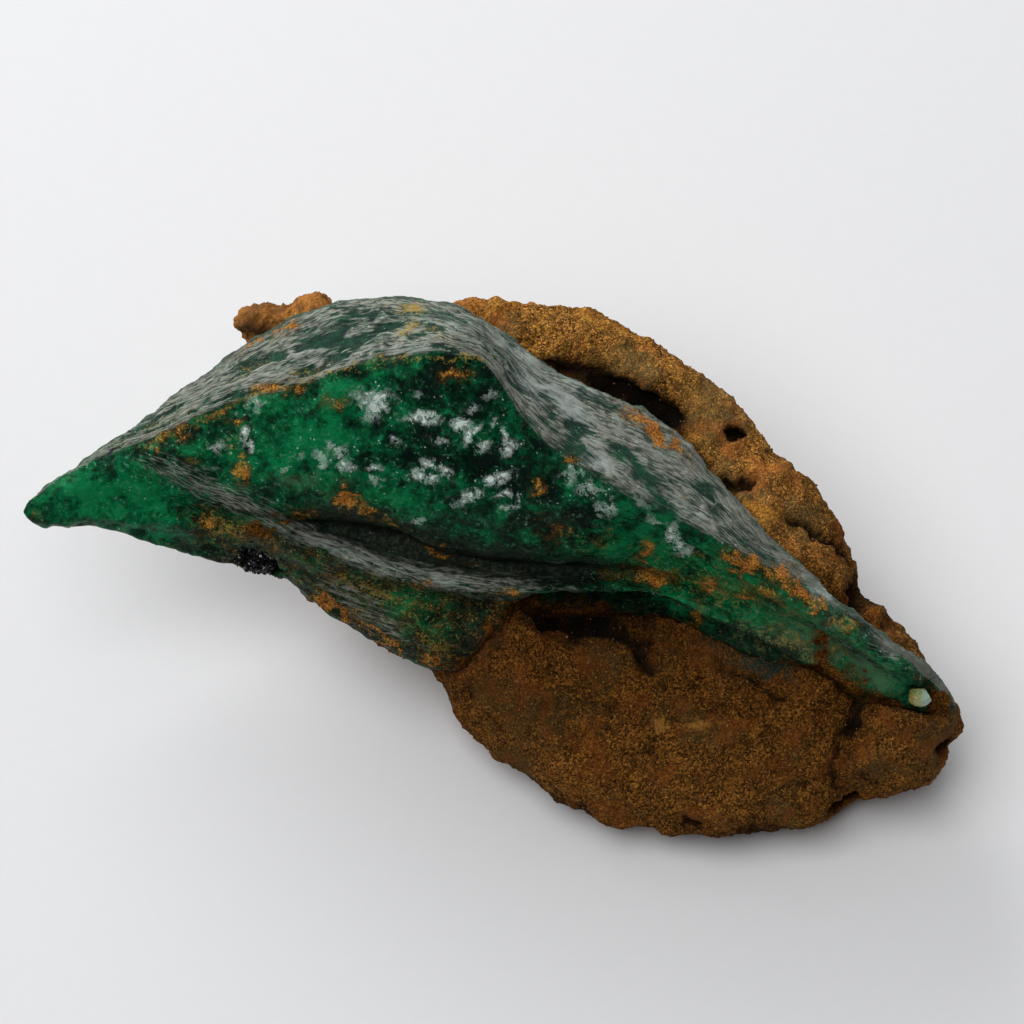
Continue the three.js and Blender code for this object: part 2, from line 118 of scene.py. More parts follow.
# On the emerald: iron stain, ochre dust, and mud where it meets the matrix
STAIN_SPOTS = [
    (273, 390, 14, 7, -10, 1.0), (300, 390, 9, 5, 0, 0.9), (337, 401, 16, 8, -5, 0.9),
    (455, 376, 13, 9, 0, 1.05), (180, 440, 9, 7, 0, 0.9), (159, 452, 4, 7, 10, 1.0),
    (187, 460, 9, 4, 0, 0.8), (234, 420, 13, 6, 0, 0.75), (243, 470, 9, 17, 0, 0.9),
    (346, 498, 13, 10, 30, 1.25), (369, 511, 13, 4, 34, 0.95), (303, 515, 17, 6, 0, 0.85),
    (209, 520, 12, 8, 0, 0.85), (255, 530, 24, 6, 22, 0.8), (277, 546, 7, 12, 0, 0.75),
    (330, 577, 16, 6, 12, 0.7), (538, 489, 7, 14, 40, 0.9), (571, 460, 10, 6, 0, 1.0),
    (541, 517, 8, 4, 0, 0.9), (558, 531, 13, 8, 0, 0.85), (606, 536, 11, 6, 0, 0.7),
    (441, 554, 13, 5, 12, 0.9), (466, 561, 12, 7, 0, 0.6), (506, 596, 20, 6, 4, 0.95),
    (425, 586, 20, 5, 5, 0.7), (540, 604, 26, 5, 4, 0.8), (646, 550, 8, 15, 42, 1.0),
    (651, 577, 27, 10, 5, 1.0), (613, 572, 18, 6, 5, 0.7), (711, 588, 12, 8, 10, 1.0),
    (699, 612, 6, 10, 0, 0.95), (743, 561, 24, 9, 18, 1.05), (746, 597, 16, 6, 10, 0.95),
    (779, 577, 18, 9, 20, 1.15), (797, 592, 18, 8, 35, 1.15), (815, 607, 9, 8, 20, 1.1),
    (852, 624, 10, 6, 20, 0.8), (838, 668, 20, 6, 8, 0.3), (856, 655, 14, 4, 0, 0.5),
    (885, 691, 16, 6, 12, 0.5), (800, 640, 30, 4, 20, 0.5), (656, 434, 44, 8, 40, 1.15),
    (640, 428, 10, 6, 10, 0.7), (622, 418, 5, 14, -20, 0.7), (668, 466, 8, 5, 20, 0.6),
    (685, 500, 8, 5, 20, 0.6), (330, 603, 26, 6, 32, 1.0), (385, 637, 24, 5, 32, 0.9),
    (395, 610, 16, 5, 20, 0.6), (365, 595, 14, 5, 12, 0.6), (230, 350, 14, 5, -35, 0.8),
    (250, 342, 15, 6, -28, 1.2), (285, 328, 18, 5, -30, 0.9), (33, 515, 7, 8, -40, 0.6),
    (560, 600, 60, 5, 4, 0.5), (447, 606, 12, 9, 20, 0.6), (318, 600, 10, 5, 25, 1.2),
    (343, 616, 10, 5, 25, 1.2), (395, 648, 18, 4, 30, 1.1), (430, 662, 16, 4, 20, 1.0),
    (376, 632, 16, 4, 35, 1.0), (283, 523, 9, 4, 10, 0.9), (350, 503, 14, 4, 34, 0.85),
    (400, 531, 16, 3, 36, 0.85), (432, 552, 14, 4, 35, 0.7), (212, 529, 9, 9, 0, 0.7),
    (233, 535, 8, 8, 0, 0.7), (760, 592, 30, 9, 28, 0.8), (718, 590, 8, 8, 0, 0.8),
    (783, 610, 26, 6, 20, 0.7), (822, 640, 10, 12, 0, 0.8), (838, 650, 14, 12, 20, 0.65),
    (848, 676, 40, 9, 12, 0.4), (800, 662, 24, 6, 10, 0.45), (924, 685, 16, 8, 40, 0.6),
]
OCHRE_SPOTS = [
    (409, 309, 12, 6, 0, 1.15), (407, 330, 13, 6, -30, 0.9), (470, 357, 18, 4, 5, 0.8),
    (366, 509, 13, 4, 34, 0.8), (838, 621, 10, 7, 30, 0.75), (305, 372, 30, 8, -18, 0.45),
    (440, 335, 30, 6, 20, 0.45), (360, 372, 40, 4, -12, 0.4), (590, 545, 30, 12, 10, 0.35),
    (700, 560, 36, 10, 22, 0.4), (790, 610, 30, 10, 30, 0.4), (235, 440, 8, 10, 0, 0.5),
    (230, 530, 36, 12, 14, 0.7), (380, 592, 60, 10, 22, 0.7), (430, 640, 40, 10, 35, 0.6),
    (396, 526, 22, 3, 36, 0.75), (847, 624, 11, 8, 20, 0.75), (250, 372, 40, 8, -28, 0.45),
    (150, 430, 40, 7, -30, 0.4), (540, 604, 60, 6, 4, 0.6), (660, 575, 50, 20, 10, 0.45),
    (720, 590, 50, 16, 20, 0.6), (790, 640, 60, 18, 20, 0.55),
]
MUD_SPOTS = [
    (540, 605, 44, 6, 0, 0.9), (600, 612, 60, 5, 4, 0.7), (700, 632, 30, 5, 12, 0.4),
    (806, 674, 28, 7, 12, 0.9), (828, 678, 46, 12, 14, 1.15), (885, 704, 22, 7, 5, 1.1),
    (940, 706, 18, 12, 45, 1.1), (262, 535, 16, 8, 0, 0.9), (318, 600, 12, 5, 25, 0.8),
    (345, 617, 12, 5, 25, 0.8), (468, 662, 14, 8, 0, 0.8), (822, 648, 10, 15, 10, 0.85),
    (440, 665, 24, 4, 15, 0.7), (160, 541, 40, 3, 12, 0.4),
]
CREST_STAIN = [(150, 441), (175, 430), (200, 421), (222, 412), (236, 402), (262, 389)]
CREST_DUST = [
    (145, 445), (200, 422), (245, 399), (275, 388), (305, 381), (340, 368), (380, 360), (470, 357),
]

# On its front face: frosted breaks with painted glints, haze, painted light coming through (where
# negative, painted shade), and the painted shade of the hollow
FROST_AND_GLINT_SPOTS = [
    (376, 404, 16, 12, -30, 1.0), (422, 418, 16, 5, 0, 1.05), (418, 396, 6, 4, 0, 0.7),
    (462, 424, 9, 6, 10, 1.1), (466, 436, 4, 9, -10, 1.0), (475, 428, 9, 3, -35, 0.9),
    (470, 409, 9, 6, -20, 0.6), (493, 424, 3, 9, 30, 0.8), (508, 448, 9, 7, 0, 1.1),
    (506, 435, 3, 7, 0, 1.0), (482, 447, 6, 6, 0, 0.8), (416, 474, 11, 5, -20, 1.05),
    (430, 461, 9, 4, 20, 1.0), (444, 470, 10, 4, 35, 1.05), (429, 479, 10, 4, 0, 0.95),
    (376, 468, 9, 4, 0, 0.85), (374, 480, 9, 4, 10, 0.7), (498, 479, 14, 5, -15, 1.05),
    (472, 495, 13, 6, -20, 1.0), (505, 495, 8, 3, 0, 0.9), (515, 500, 4, 7, -30, 0.9),
    (508, 507, 9, 4, 0, 0.85), (330, 452, 15, 7, -10, 0.9), (322, 464, 6, 4, 0, 0.8),
    (345, 466, 12, 6, 10, 0.65), (300, 455, 8, 5, 0, 0.5), (288, 468, 6, 4, 0, 0.7),
    (246, 436, 6, 9, 20, 0.8), (251, 446, 4, 8, 20, 0.8), (216, 448, 9, 6, -20, 0.65),
    (252, 403, 14, 8, 0, 0.45), (360, 397, 10, 8, 0, 0.5), (395, 440, 8, 5, 0, 0.55),
    (440, 440, 12, 5, 10, 0.5), (490, 395, 10, 8, 0, 0.45), (419, 521, 9, 4, -10, 0.7),
    (452, 505, 10, 5, 0, 0.5), (568, 478, 12, 8, 20, 0.6), (575, 470, 12, 5, 10, 0.6),
    (590, 490, 14, 7, 0, 0.7), (601, 508, 6, 8, 0, 0.7), (612, 507, 7, 9, 0, 0.7),
    (640, 500, 14, 5, 30, 0.5), (655, 520, 10, 5, 20, 0.55), (672, 533, 5, 11, 10, 0.9),
    (678, 543, 5, 9, 10, 0.8), (686, 552, 6, 7, 20, 0.75), (821, 594, 11, 8, 30, 0.7),
    (795, 560, 10, 6, 30, 0.5),
]
HAZE_SPOTS = [
    (300, 480, 32, 14, 8, 0.8), (345, 476, 26, 12, 0, 0.7), (270, 400, 26, 10, -10, 0.5),
    (160, 470, 26, 8, 25, 0.6), (520, 420, 10, 22, -20, 0.4), (640, 500, 40, 10, 30, 0.5),
    (665, 545, 30, 10, 20, 0.35), (560, 560, 50, 6, 4, 0.3), (380, 590, 50, 12, 20, 0.55),
    (350, 585, 30, 10, 20, 0.5), (600, 520, 30, 12, 20, 0.3), (800, 655, 50, 8, 18, 0.4),
    (780, 600, 20, 10, 30, 0.3), (215, 510, 40, 8, 15, 0.5), (760, 630, 60, 16, 18, 0.85),
    (700, 605, 40, 10, 10, 0.75), (640, 575, 40, 10, 5, 0.5), (870, 672, 32, 14, 30, 1.6),
    (815, 640, 60, 24, 20, 1.2),
]
GLOW_AND_SHADE_SPOTS = [
    (105, 492, 60, 26, -14, 0.75), (160, 500, 46, 16, 10, 0.35), (262, 455, 26, 30, 0, 0.35),
    (312, 430, 46, 30, 0, 0.45), (350, 445, 44, 40, 0, 0.35), (395, 500, 54, 14, 15, 0.25),
    (240, 400, 30, 10, -12, 0.35), (300, 400, 60, 10, -14, 0.25), (470, 405, 46, 34, 0, -0.22),
    (450, 450, 50, 30, 0, -0.16), (560, 500, 50, 32, 20, -0.2), (640, 520, 44, 18, 28, 0.45),
    (625, 553, 44, 14, 8, 0.6), (700, 556, 40, 14, 26, 0.45), (670, 604, 26, 9, 8, 0.65),
    (590, 560, 30, 8, 5, 0.2), (370, 536, 52, 18, 20, -1.3), (510, 567, 90, 13, 4, -1.3),
    (460, 556, 60, 10, 10, -0.8), (600, 600, 50, 8, 6, -0.5), (755, 640, 50, 12, 16, -0.3),
    (700, 625, 30, 8, 10, -0.2), (800, 618, 14, 8, 20, 0.4), (828, 620, 8, 7, 0, -0.8),
    (880, 640, 26, 13, 45, -0.8), (860, 680, 30, 9, 10, 0.5), (270, 560, 40, 12, 20, 0.1),
    (300, 560, 30, 16, 20, 0.35), (75, 495, 40, 16, -14, 0.3), (430, 625, 40, 20, 40, 0.35),
    (492, 642, 22, 22, -30, -1.0), (745, 580, 16, 7, 10, 0.6), (650, 590, 50, 14, 10, 0.25),
    (868, 668, 30, 13, 30, 1.1), (815, 630, 50, 20, 25, 0.3), (760, 600, 60, 26, 25, 0.25),
    (770, 625, 70, 24, 22, 0.35), (640, 580, 50, 18, 8, 0.15), (465, 610, 30, 12, 10, 0.2),
    (380, 615, 40, 12, 30, -0.2), (180, 470, 30, 14, 20, -0.3), (330, 530, 16, 8, 10, -0.8),
    (720, 520, 30, 12, 40, 0.2), (450, 520, 90, 20, 12, 0.15),
]
PAINTED_SHADE_SPOTS = [
    (344, 519, 26, 15, 26, 1.2), (400, 541, 50, 18, 18, 1.2), (480, 560, 60, 14, 5, 1.2),
    (352, 512, 20, 8, 26, 1.3), (384, 522, 20, 7, 26, 1.3), (560, 567, 50, 10, 2, 1.0),
    (494, 640, 20, 22, -30, 0.9), (262, 548, 22, 15, 0, 0.9), (752, 648, 40, 9, 16, 0.75),
    (600, 606, 46, 10, 6, 0.8), (828, 620, 9, 8, 0, 0.5), (938, 688, 26, 8, 48, 0.3),
    (470, 520, 60, 8, 5, 0.35), (560, 520, 16, 10, 0, 0.4),
]

# On its flank: more worn skin with painted sheen, the paler painted sheen on it, and the bare dark
# patches without either
END_SLIVER = [(885, 630), (925, 665), (958, 702)]
SKIN_AND_SHEEN_SPOTS = [
    (890, 650, 16, 10, 45, 0.8), (820, 594, 13, 9, 30, 0.9), (370, 615, 50, 16, 35, 0.75),
    (345, 590, 40, 10, 25, 0.8), (430, 650, 30, 8, 40, 0.4), (225, 490, 40, 14, 22, 0.5),
    (180, 470, 40, 10, 25, 0.6), (150, 462, 20, 8, 20, 0.5),
]
SHEEN_SPOTS = [
    (604, 464, 26, 9, 28, 1.1), (560, 398, 40, 9, 38, 1.1), (520, 352, 30, 9, 32, 0.9),
    (565, 372, 40, 9, 35, 0.9), (530, 390, 26, 6, 48, 1.0), (340, 552, 60, 8, 20, 0.7),
    (480, 584, 60, 5, 5, 0.2), (690, 508, 36, 8, 38, 0.8), (640, 485, 40, 6, 28, 0.8),
    (620, 425, 30, 7, 30, 0.5), (440, 330, 30, 7, 10, 0.5), (330, 345, 50, 7, -22, 0.4),
    (280, 365, 60, 7, -26, 0.4), (700, 470, 12, 12, 40, 0.6), (820, 594, 14, 8, 30, 1.0),
    (892, 655, 15, 7, 45, 0.7), (650, 450, 40, 9, 28, 0.8), (722, 502, 20, 9, 45, 0.7),
    (600, 440, 26, 7, 30, 0.6), (400, 350, 50, 5, -8, 0.5), (430, 575, 40, 7, 12, 0.6),
    (350, 550, 40, 4, 22, 0.35),
]
SKIN_AND_SHEEN_GAPS = [
    (400, 318, 60, 8, 6, 0.5), (370, 335, 60, 8, -24, 0.55), (240, 375, 40, 7, -33, 0.4),
    (577, 429, 11, 9, 20, 1.1), (576, 450, 18, 9, 15, 1.0), (620, 454, 16, 9, 15, 0.9),
    (640, 475, 16, 8, 20, 1.0), (666, 507, 16, 8, 20, 0.9), (694, 503, 8, 10, 30, 0.8),
    (706, 489, 16, 9, 35, 0.9), (716, 510, 12, 8, 30, 0.8), (599, 401, 22, 6, 22, 0.8),
    (548, 412, 7, 16, -20, 0.8), (740, 540, 14, 8, 40, 0.7), (590, 470, 12, 5, 20, 0.6),
    (545, 372, 12, 6, 30, 0.5), (470, 345, 22, 6, 30, 0.35), (330, 350, 30, 6, -25, 0.4),
    (770, 560, 20, 8, 40, 0.6), (850, 615, 16, 6, 40, 0.6), (870, 628, 18, 6, 40, 0.7),
    (512, 345, 14, 5, 30, 0.5), (655, 445, 14, 5, 30, 0.6), (527, 428, 5, 12, -25, 0.6),
]

# On the matrix: sunk lines as their points, half width in pixels and depth in millimetres, also
# painted dark as shade;
# its edge under the emerald; hollows with painted shade; and swellings and cut-back edges in
# millimetres
MATRIX_CRACKS = [
    ([(739, 677), (752, 684), (766, 690), (784, 703)], 2.7, 0.5),
    ([(722, 668), (739, 677)], 2.5, 0.4),
    ([(870, 696), (856, 710), (846, 733)], 5, 0.8),
    ([(842, 748), (832, 770), (838, 790)], 6, 0.4),
    ([(840, 812), (852, 800)], 7, 0.9),
    ([(952, 744), (940, 750)], 4.5, 0.5),
    ([(790, 520), (815, 531), (838, 544), (852, 560)], 4, 0.7),
    ([(854, 588), (855, 614)], 5, 0.9),
    ([(637, 644), (643, 655), (647, 672)], 5, 0.9),
    ([(546, 624), (575, 630), (612, 630), (650, 640)], 7, 0.6),
    ([(728, 435), (742, 434)], 5, 0.5),
    ([(727, 487), (749, 483)], 6, 0.7),
    ([(552, 366), (600, 378), (640, 396), (676, 414)], 9, 1.1),
    ([(684, 822), (696, 828)], 5, 0.6),
    ([(862, 778), (872, 784)], 8, 0.35),
]
CONTACT_LINE = [
    (650, 603), (700, 619), (754, 646), (808, 668), (849, 692), (889, 709), (930, 716),
]
MATRIX_HOLLOW_SHADE = [
    (572, 376, 22, 9, 15, 1.2), (608, 390, 28, 12, 20, 1.5), (646, 406, 30, 14, 24, 1.7),
    (672, 420, 13, 13, 30, 1.5), (655, 398, 20, 10, 24, 1.2), (555, 620, 9, 13, 0, 1.4),
    (590, 624, 26, 9, 5, 1.4), (574, 639, 11, 8, 0, 1.1), (612, 632, 18, 7, 0, 1.1),
    (640, 622, 22, 6, 8, 0.8), (698, 634, 10, 8, 0, 0.9), (530, 612, 12, 9, 0, 0.8),
    (660, 630, 16, 5, 10, 0.6), (735, 434, 11, 6, 0, 1.1), (738, 486, 14, 6, -8, 0.8),
    (642, 652, 7, 12, -25, 1.3), (649, 666, 8, 7, 0, 1.0), (862, 704, 7, 9, 35, 1.4),
    (850, 722, 6, 12, 15, 1.3), (854, 602, 4, 12, 0, 0.8), (846, 756, 6, 9, 0, 0.5),
    (690, 825, 10, 5, 0, 0.7), (843, 810, 9, 5, 0, 0.6), (500, 640, 8, 12, 30, 0.5),
]
MATRIX_SWELLINGS = [
    (661, 722, 9, 11, 0, 0.25), (700, 725, 16, 9, 0, 0.22), (905, 740, 34, 28, 0, 0.45),
    (820, 565, 34, 14, 36, 0.45), (522, 622, 10, 14, 20, 0.4), (770, 470, 40, 26, 50, 0.4),
    (895, 650, 20, 14, 40, 0.4), (610, 345, 60, 20, 18, 0.3), (500, 315, 40, 14, 8, 0.25),
    (600, 770, 60, 30, 20, 0.3), (740, 760, 60, 40, 0, 0.25), (880, 610, 12, 16, 40, 0.3),
]
EDGE_TRIMS = [
    (740, 846, 75, 18, 0, 0.60), (560, 806, 42, 16, 35, 0.60), (650, 838, 45, 14, 8, 0.35),
    (905, 806, 34, 14, -15, 0.50), (860, 812, 20, 10, 0, 0.35), (878, 588, 22, 18, 45, 0.85),
    (945, 668, 14, 30, -25, 0.60), (892, 612, 24, 16, 45, 0.70), (665, 342, 44, 12, 28, 0.35),
    (725, 385, 22, 12, 40, 0.30),
]

# Its colours: green-black smears, clay, and rusty powder
SLATE_SPOTS = [
    (765, 666, 42, 10, 17, 1.15), (722, 645, 26, 9, 15, 0.9), (688, 622, 20, 6, 10, 0.6),
    (870, 694, 11, 5, -20, 0.8), (800, 668, 20, 5, 14, 0.5), (498, 636, 10, 14, 30, 0.6),
]
CLAY_SPOTS = [
    (661, 722, 8, 10, 0, 1.0), (699, 725, 15, 8, 0, 0.9), (745, 800, 22, 14, 0, 0.5),
    (706, 662, 8, 5, 0, 0.6), (560, 765, 20, 7, 25, 0.4), (745, 815, 30, 8, 0, 0.5),
]
POWDER_SPOTS = [
    (600, 318, 90, 12, 14, 0.9), (510, 310, 60, 14, 6, 0.8), (560, 340, 60, 16, 20, 0.5),
    (690, 385, 50, 14, 40, 0.8), (700, 440, 30, 26, 40, 0.8), (690, 405, 30, 12, 35, 0.6),
    (770, 440, 40, 12, 50, 0.7), (745, 505, 26, 8, 20, 1.0), (770, 520, 34, 7, 10, 1.0),
    (820, 500, 30, 10, 55, 0.6), (880, 615, 30, 12, 45, 0.5), (640, 700, 110, 40, 10, 0.15),
    (500, 690, 40, 20, 30, 0.35), (600, 800, 60, 8, 22, 0.5), (760, 815, 60, 14, 0, 0.5),
    (560, 650, 50, 14, 8, 0.4), (700, 660, 50, 16, 12, 0.3), (900, 730, 24, 20, 0, 0.3),
]

# On the clay nodule: swellings in millimetres, and darker spots, with painted shade where they lie
# in hollows
NODULE_SWELLINGS = [
    (286, 302, 7, 12, 20, -0.55), (254, 318, 12, 12, 0, 0.15), (312, 299, 11, 7, 0, 0.15),
    (240, 344, 12, 9, 0, -0.75), (262, 340, 14, 6, 0, -0.5),
]
NODULE_HOLLOWS = [
    (252, 322, 12, 16, 0, 0.8), (262, 335, 14, 6, 0, 0.8), (320, 300, 8, 5, 0, 0.4),
]

# How fine the meshes of the nodule and the knob are
NODULE_VOXEL = 0.13 * MM
KNOB_VOXEL = 0.07 * MM

# The small pieces; their shifts, radii and reaches are in millimetres
KNOB_STRETCH = (0.92, 0.80, 0.95)
KNOB_SHIFT = (-0.25, 0, -0.05)
KNOB_CUTS = 14
PLATE_RADIUS = (0.05, 0.17)
CLUSTER_RADIUS = 1.05
CLUSTER_SPREAD = 1.25
CLUSTER_REACH = 2.2
SAND_RADIUS = (0.045, 0.10)
EDGE_SAND_RADIUS = (0.04, 0.09)
POWDER_RADIUS = (0.03, 0.08)

TABLE_SIZE = 6.0


# Colours that no user would change, and other fixed looks
BLACK_GREEN = (0.0007, 0.0075, 0.0045)
HAZE_GREEN = (0.135, 0.175, 0.115)
SPARK_GREEN = (0.11, 0.26, 0.18)
FLANK_GREEN = (0.012, 0.034, 0.026)
SHADE_DARK = (0.015, 0.023, 0.016)
SHADE_PALE = (0.052, 0.068, 0.048)
OCHRE_DUST = (0.33, 0.22, 0.04)
OCHRE_PALE = (0.66, 0.38, 0.06)
RUST_DARK = (0.05, 0.018, 0.004)
RUST_FRINGE = (0.060, 0.036, 0.008)
CONTACT_SHADE_BROWN = (0.022, 0.011, 0.004)
GOLD_FLECK = (0.50, 0.28, 0.07)
MATRIX_DULL = (0.052, 0.034, 0.010)
MATRIX_RED = (0.15, 0.038, 0.006)
MATRIX_CLAY = (0.40, 0.18, 0.035)
DAYLIGHT_LIFT = (2.9, 3.4, 4.5)
SLATE_DARK = (0.006, 0.014, 0.010)
SLATE_PALE = (0.026, 0.050, 0.036)
HOLLOW_SHADE = (0.006, 0.0035, 0.002)
CLAY_BROWN = (0.12, 0.048, 0.012)
CLAY_DARK_AND_SHADE = (0.030, 0.012, 0.004)
SAND_TONES = ((0.03, 0.012, 0.003), (0.20, 0.09, 0.022))
POWDER_TONES = ((0.13, 0.04, 0.007), (0.50, 0.19, 0.03))
# The palest tone is a painted glint on a few plates
PLATE_TONES = [
    (0.0, (0.003, 0.003, 0.004)), (0.85, (0.010, 0.010, 0.012)), (0.94, (0.03, 0.03, 0.035)),
    (0.97, (0.5, 0.5, 0.55)),
]
KNOB_TONES = [(0.3, (0.12, 0.18, 0.045)), (0.5, (0.27, 0.32, 0.10)), (0.72, (0.50, 0.52, 0.24))]
KNOB_CLEAR = ((0.22, 0.40, 0.31), (0.56, 0.70, 0.60))
SKY_COLOUR = (0.96, 0.98, 1.0)


# Numbers a user would change


class StoneShape(bpy.types.PropertyGroup):
    """How fine and how rough the surfaces are"""

    emerald_voxel: FloatProperty(
        name="Emerald detail", description="Edge length of the emerald's mesh",
        default=0.205 * MM, min=0.1 * MM, unit="LENGTH",
    )
    matrix_voxel: FloatProperty(
        name="Matrix detail", description="Edge length of the matrix's mesh",
        default=0.24 * MM, min=0.1 * MM, unit="LENGTH",
    )
    scallop_depth: FloatProperty(
        name="Scallop depth", description="Depth of the shell-shaped breaks on the front face",
        default=0.46 * MM, unit="LENGTH",
    )
    ripple_depth: FloatProperty(
        name="Ripple depth", description="Depth of the fine ripples along the back flank",
        default=0.11 * MM, unit="LENGTH",
    )
    grain_count: IntProperty(
        name="Loose grains", description="Grains of sand that stand out of the matrix",
        default=6000, min=0,
    )
    powder_count: IntProperty(
        name="Powder grains", description="Grains of iron powder that lie on the emerald",
        default=4000, min=0,
    )
    plate_count: IntProperty(
        name="Black plates", description="Plates in the black cluster", default=900, min=1,
    )


class StoneColours(bpy.types.PropertyGroup):
    """The main colours"""

    emerald_deep: FloatVectorProperty(
        name="Deep green", description="The emerald where it is thick", subtype="COLOR",
        default=(0.0008, 0.024, 0.0095), min=0, max=1,
    )
    emerald_bright: FloatVectorProperty(
        name="Bright green", description="The emerald where light comes through",
        subtype="COLOR", default=(0.0008, 0.142, 0.045), min=0, max=1,
    )
    # Grey of the worn skin on the flank and of the painted sheen that stands in for its reflection
    skin_and_sheen_grey: FloatVectorProperty(
        name="Skin", description="The worn grey skin on the flank", subtype="COLOR",
        default=(0.20, 0.207, 0.172), min=0, max=1,
    )
    # White of the frosted breaks and of the painted glints on them
    frost_and_glint_white: FloatVectorProperty(
        name="Frost", description="Frosted breaks on the front face", subtype="COLOR",
        default=(0.73, 0.83, 0.78), min=0, max=1,
    )
    rust_orange: FloatVectorProperty(
        name="Rust", description="Iron stain", subtype="COLOR",
        default=(0.38, 0.135, 0.016), min=0, max=1,
    )
    matrix_brown: FloatVectorProperty(
        name="Matrix", description="The matrix's own brown", subtype="COLOR",
        default=(0.089, 0.0335, 0.0049), min=0, max=1,
    )
    clay_ochre: FloatVectorProperty(
        name="Clay", description="The clay nodule", subtype="COLOR",
        default=(0.31, 0.12, 0.018), min=0, max=1,
    )
    floor_white: FloatVectorProperty(
        name="Floor", description="The table", subtype="COLOR",
        default=(0.80, 0.80, 0.81), min=0, max=1,
    )


# Where things are in the picture


def picture_places(points):
    """The picture's pixel for each point, seen by the scene's camera."""
    eye = np.array(EYE_TARGET + TO_EYE * EYE_DISTANCE)
    away = np.asarray(points) - eye
    depth = -(away @ np.array(TO_EYE))
    scale = PICTURE_PX * EYE_DISTANCE / FRAME_WIDTH
    x = PICTURE_PX / 2 + scale * away[:, 0] / depth
    y = PICTURE_PX / 2 - scale * (away @ np.array(EYE_UP)) / depth
    return np.column_stack((x, y))


def ragged(places, points, reach):
    """The places shifted by noise of about `reach` pixels, for ragged outlines."""
    noise.seed_set(OUTLINE_SEED)
    shift = np.array([
        noise.noise_vector(Vector(p)) + 0.5 * noise.noise_vector(Vector(p) * 2.7)
        for p in points / (0.95 * MM)
    ])
    return places + reach * shift[:, :2]


def smooth_step(value, low, high):
    """Nought below low and one above high, with an even curve between."""
    share = np.clip((value - low) / (high - low), 0, 1)
    return share * share * (3 - 2 * share)


def spot_strength(places, spots):
    """The strongest of the spots at each place."""
    best = np.zeros(len(places))
    for spot in spots:
        best = np.maximum(best, one_spot(places, spot))
    return best


def spot_sum(places, spots):
    """All the spots added up at each place."""
    return sum((one_spot(places, spot) for spot in spots), np.zeros(len(places)))


def one_spot(places, spot):
    x, y, half_width, half_height, turn, strength = spot
    angle = math.radians(turn)
    across = places[:, 0] - x
    down = places[:, 1] - y
    along = (across * math.cos(angle) + down * math.sin(angle)) / half_width
    beside = (down * math.cos(angle) - across * math.sin(angle)) / half_height
    return strength * np.exp(-0.7 * (along**2 + beside**2))


def line_distance(places, line):
    """How many pixels each place is from a line of points."""
    nearest = np.full(len(places), np.inf)
    for start, end in zip(line, line[1:]):
        start = np.array(start, float)
        along = np.array(end, float) - start
        share = np.clip((places - start) @ along / (along @ along), 0, 1)
        gap = np.linalg.norm(places - start - share[:, None] * along, axis=1)
        nearest = np.minimum(nearest, gap)
    return nearest


def line_strength(places, line, half_width):
    """One on the line, and fading to nothing beside it."""
    return np.exp(-((line_distance(places, line) / half_width) ** 2))


def line_height(places, line):
    """The line's own row of the picture in each place's column."""
    xs, ys = zip(*line)
    return np.interp(places[:, 0], xs, ys)


# Meshes


def link(obj):
    bpy.context.scene.collection.objects.link(obj)
    return obj


def apply_modifiers(obj):
    bpy.context.view_layer.objects.active = obj
    for modifier in list(obj.modifiers):
        bpy.ops.object.modifier_apply(modifier=modifier.name)


def dense_copy(node, name, voxel, rounds):
    """An even, closed mesh of a CAD node with its flat facets smoothed away."""
    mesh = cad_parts[node].data.copy()
    form = bmesh.new()
    form.from_mesh(mesh)
    bmesh.ops.remove_doubles(form, verts=form.verts, dist=1e-6)
    form.to_mesh(mesh)
    form.free()
    obj = link(bpy.data.objects.new(name, mesh))
    mesh.name = name
    mesh.materials.clear()
    remesh = obj.modifiers.new("Even mesh", "REMESH")
    remesh.mode = "VOXEL"
    remesh.voxel_size = voxel * 1
    soften = obj.modifiers.new("Soften", "SMOOTH")
    soften.factor = 0.5
    soften.iterations = rounds
    apply_modifiers(obj)
    return obj


def points_of(mesh):
    values = np.empty(len(mesh.vertices) * 3, np.float32)
    mesh.vertices.foreach_get("co", values)
    return values.reshape(-1, 3).astype(float)


def normals_of(mesh):
    values = np.empty(len(mesh.vertices) * 3, np.float32)
    mesh.vertex_normals.foreach_get("vector", values)
    return values.reshape(-1, 3).astype(float)


def move_points(mesh, points):
    mesh.vertices.foreach_set("co", points.astype(np.float32).ravel())
    mesh.update()


def store(mesh, name, values):
    attribute = mesh.attributes.new(name, "FLOAT", "POINT")
    attribute.data.foreach_set("value", np.clip(values, -4, 4).astype(np.float32))


def store_vectors(mesh, name, values):
    attribute = mesh.attributes.new(name, "FLOAT_VECTOR", "POINT")
    attribute.data.foreach_set("vector", values.astype(np.float32).ravel())


def shade_smooth(mesh):
    mesh.polygons.foreach_set("use_smooth", [True] * len(mesh.polygons))


def rough(points, size, octaves=4, gain=0.55, offset=0.0):
    """Cloud noise, from about -1 to 1, with lumps of about `size`."""
    scaled = points / size + offset
    return np.array([noise.fractal(Vector(p), gain, 2.0, octaves) for p in scaled])


def cells(points, size, offset=0.0):
    """Distance to the nearest and to the second nearest cell centre, in cell sizes."""
    found = np.empty((len(points), 2))
    for i, p in enumerate(points / size + offset):
        found[i] = noise.voronoi(Vector(p))[0][:2]
    return found


def tree_of(*objs):
    form = bmesh.new()
    for obj in objs:
        form.from_mesh(obj.data)
    tree = BVHTree.FromBMesh(form)
    form.free()
    return tree


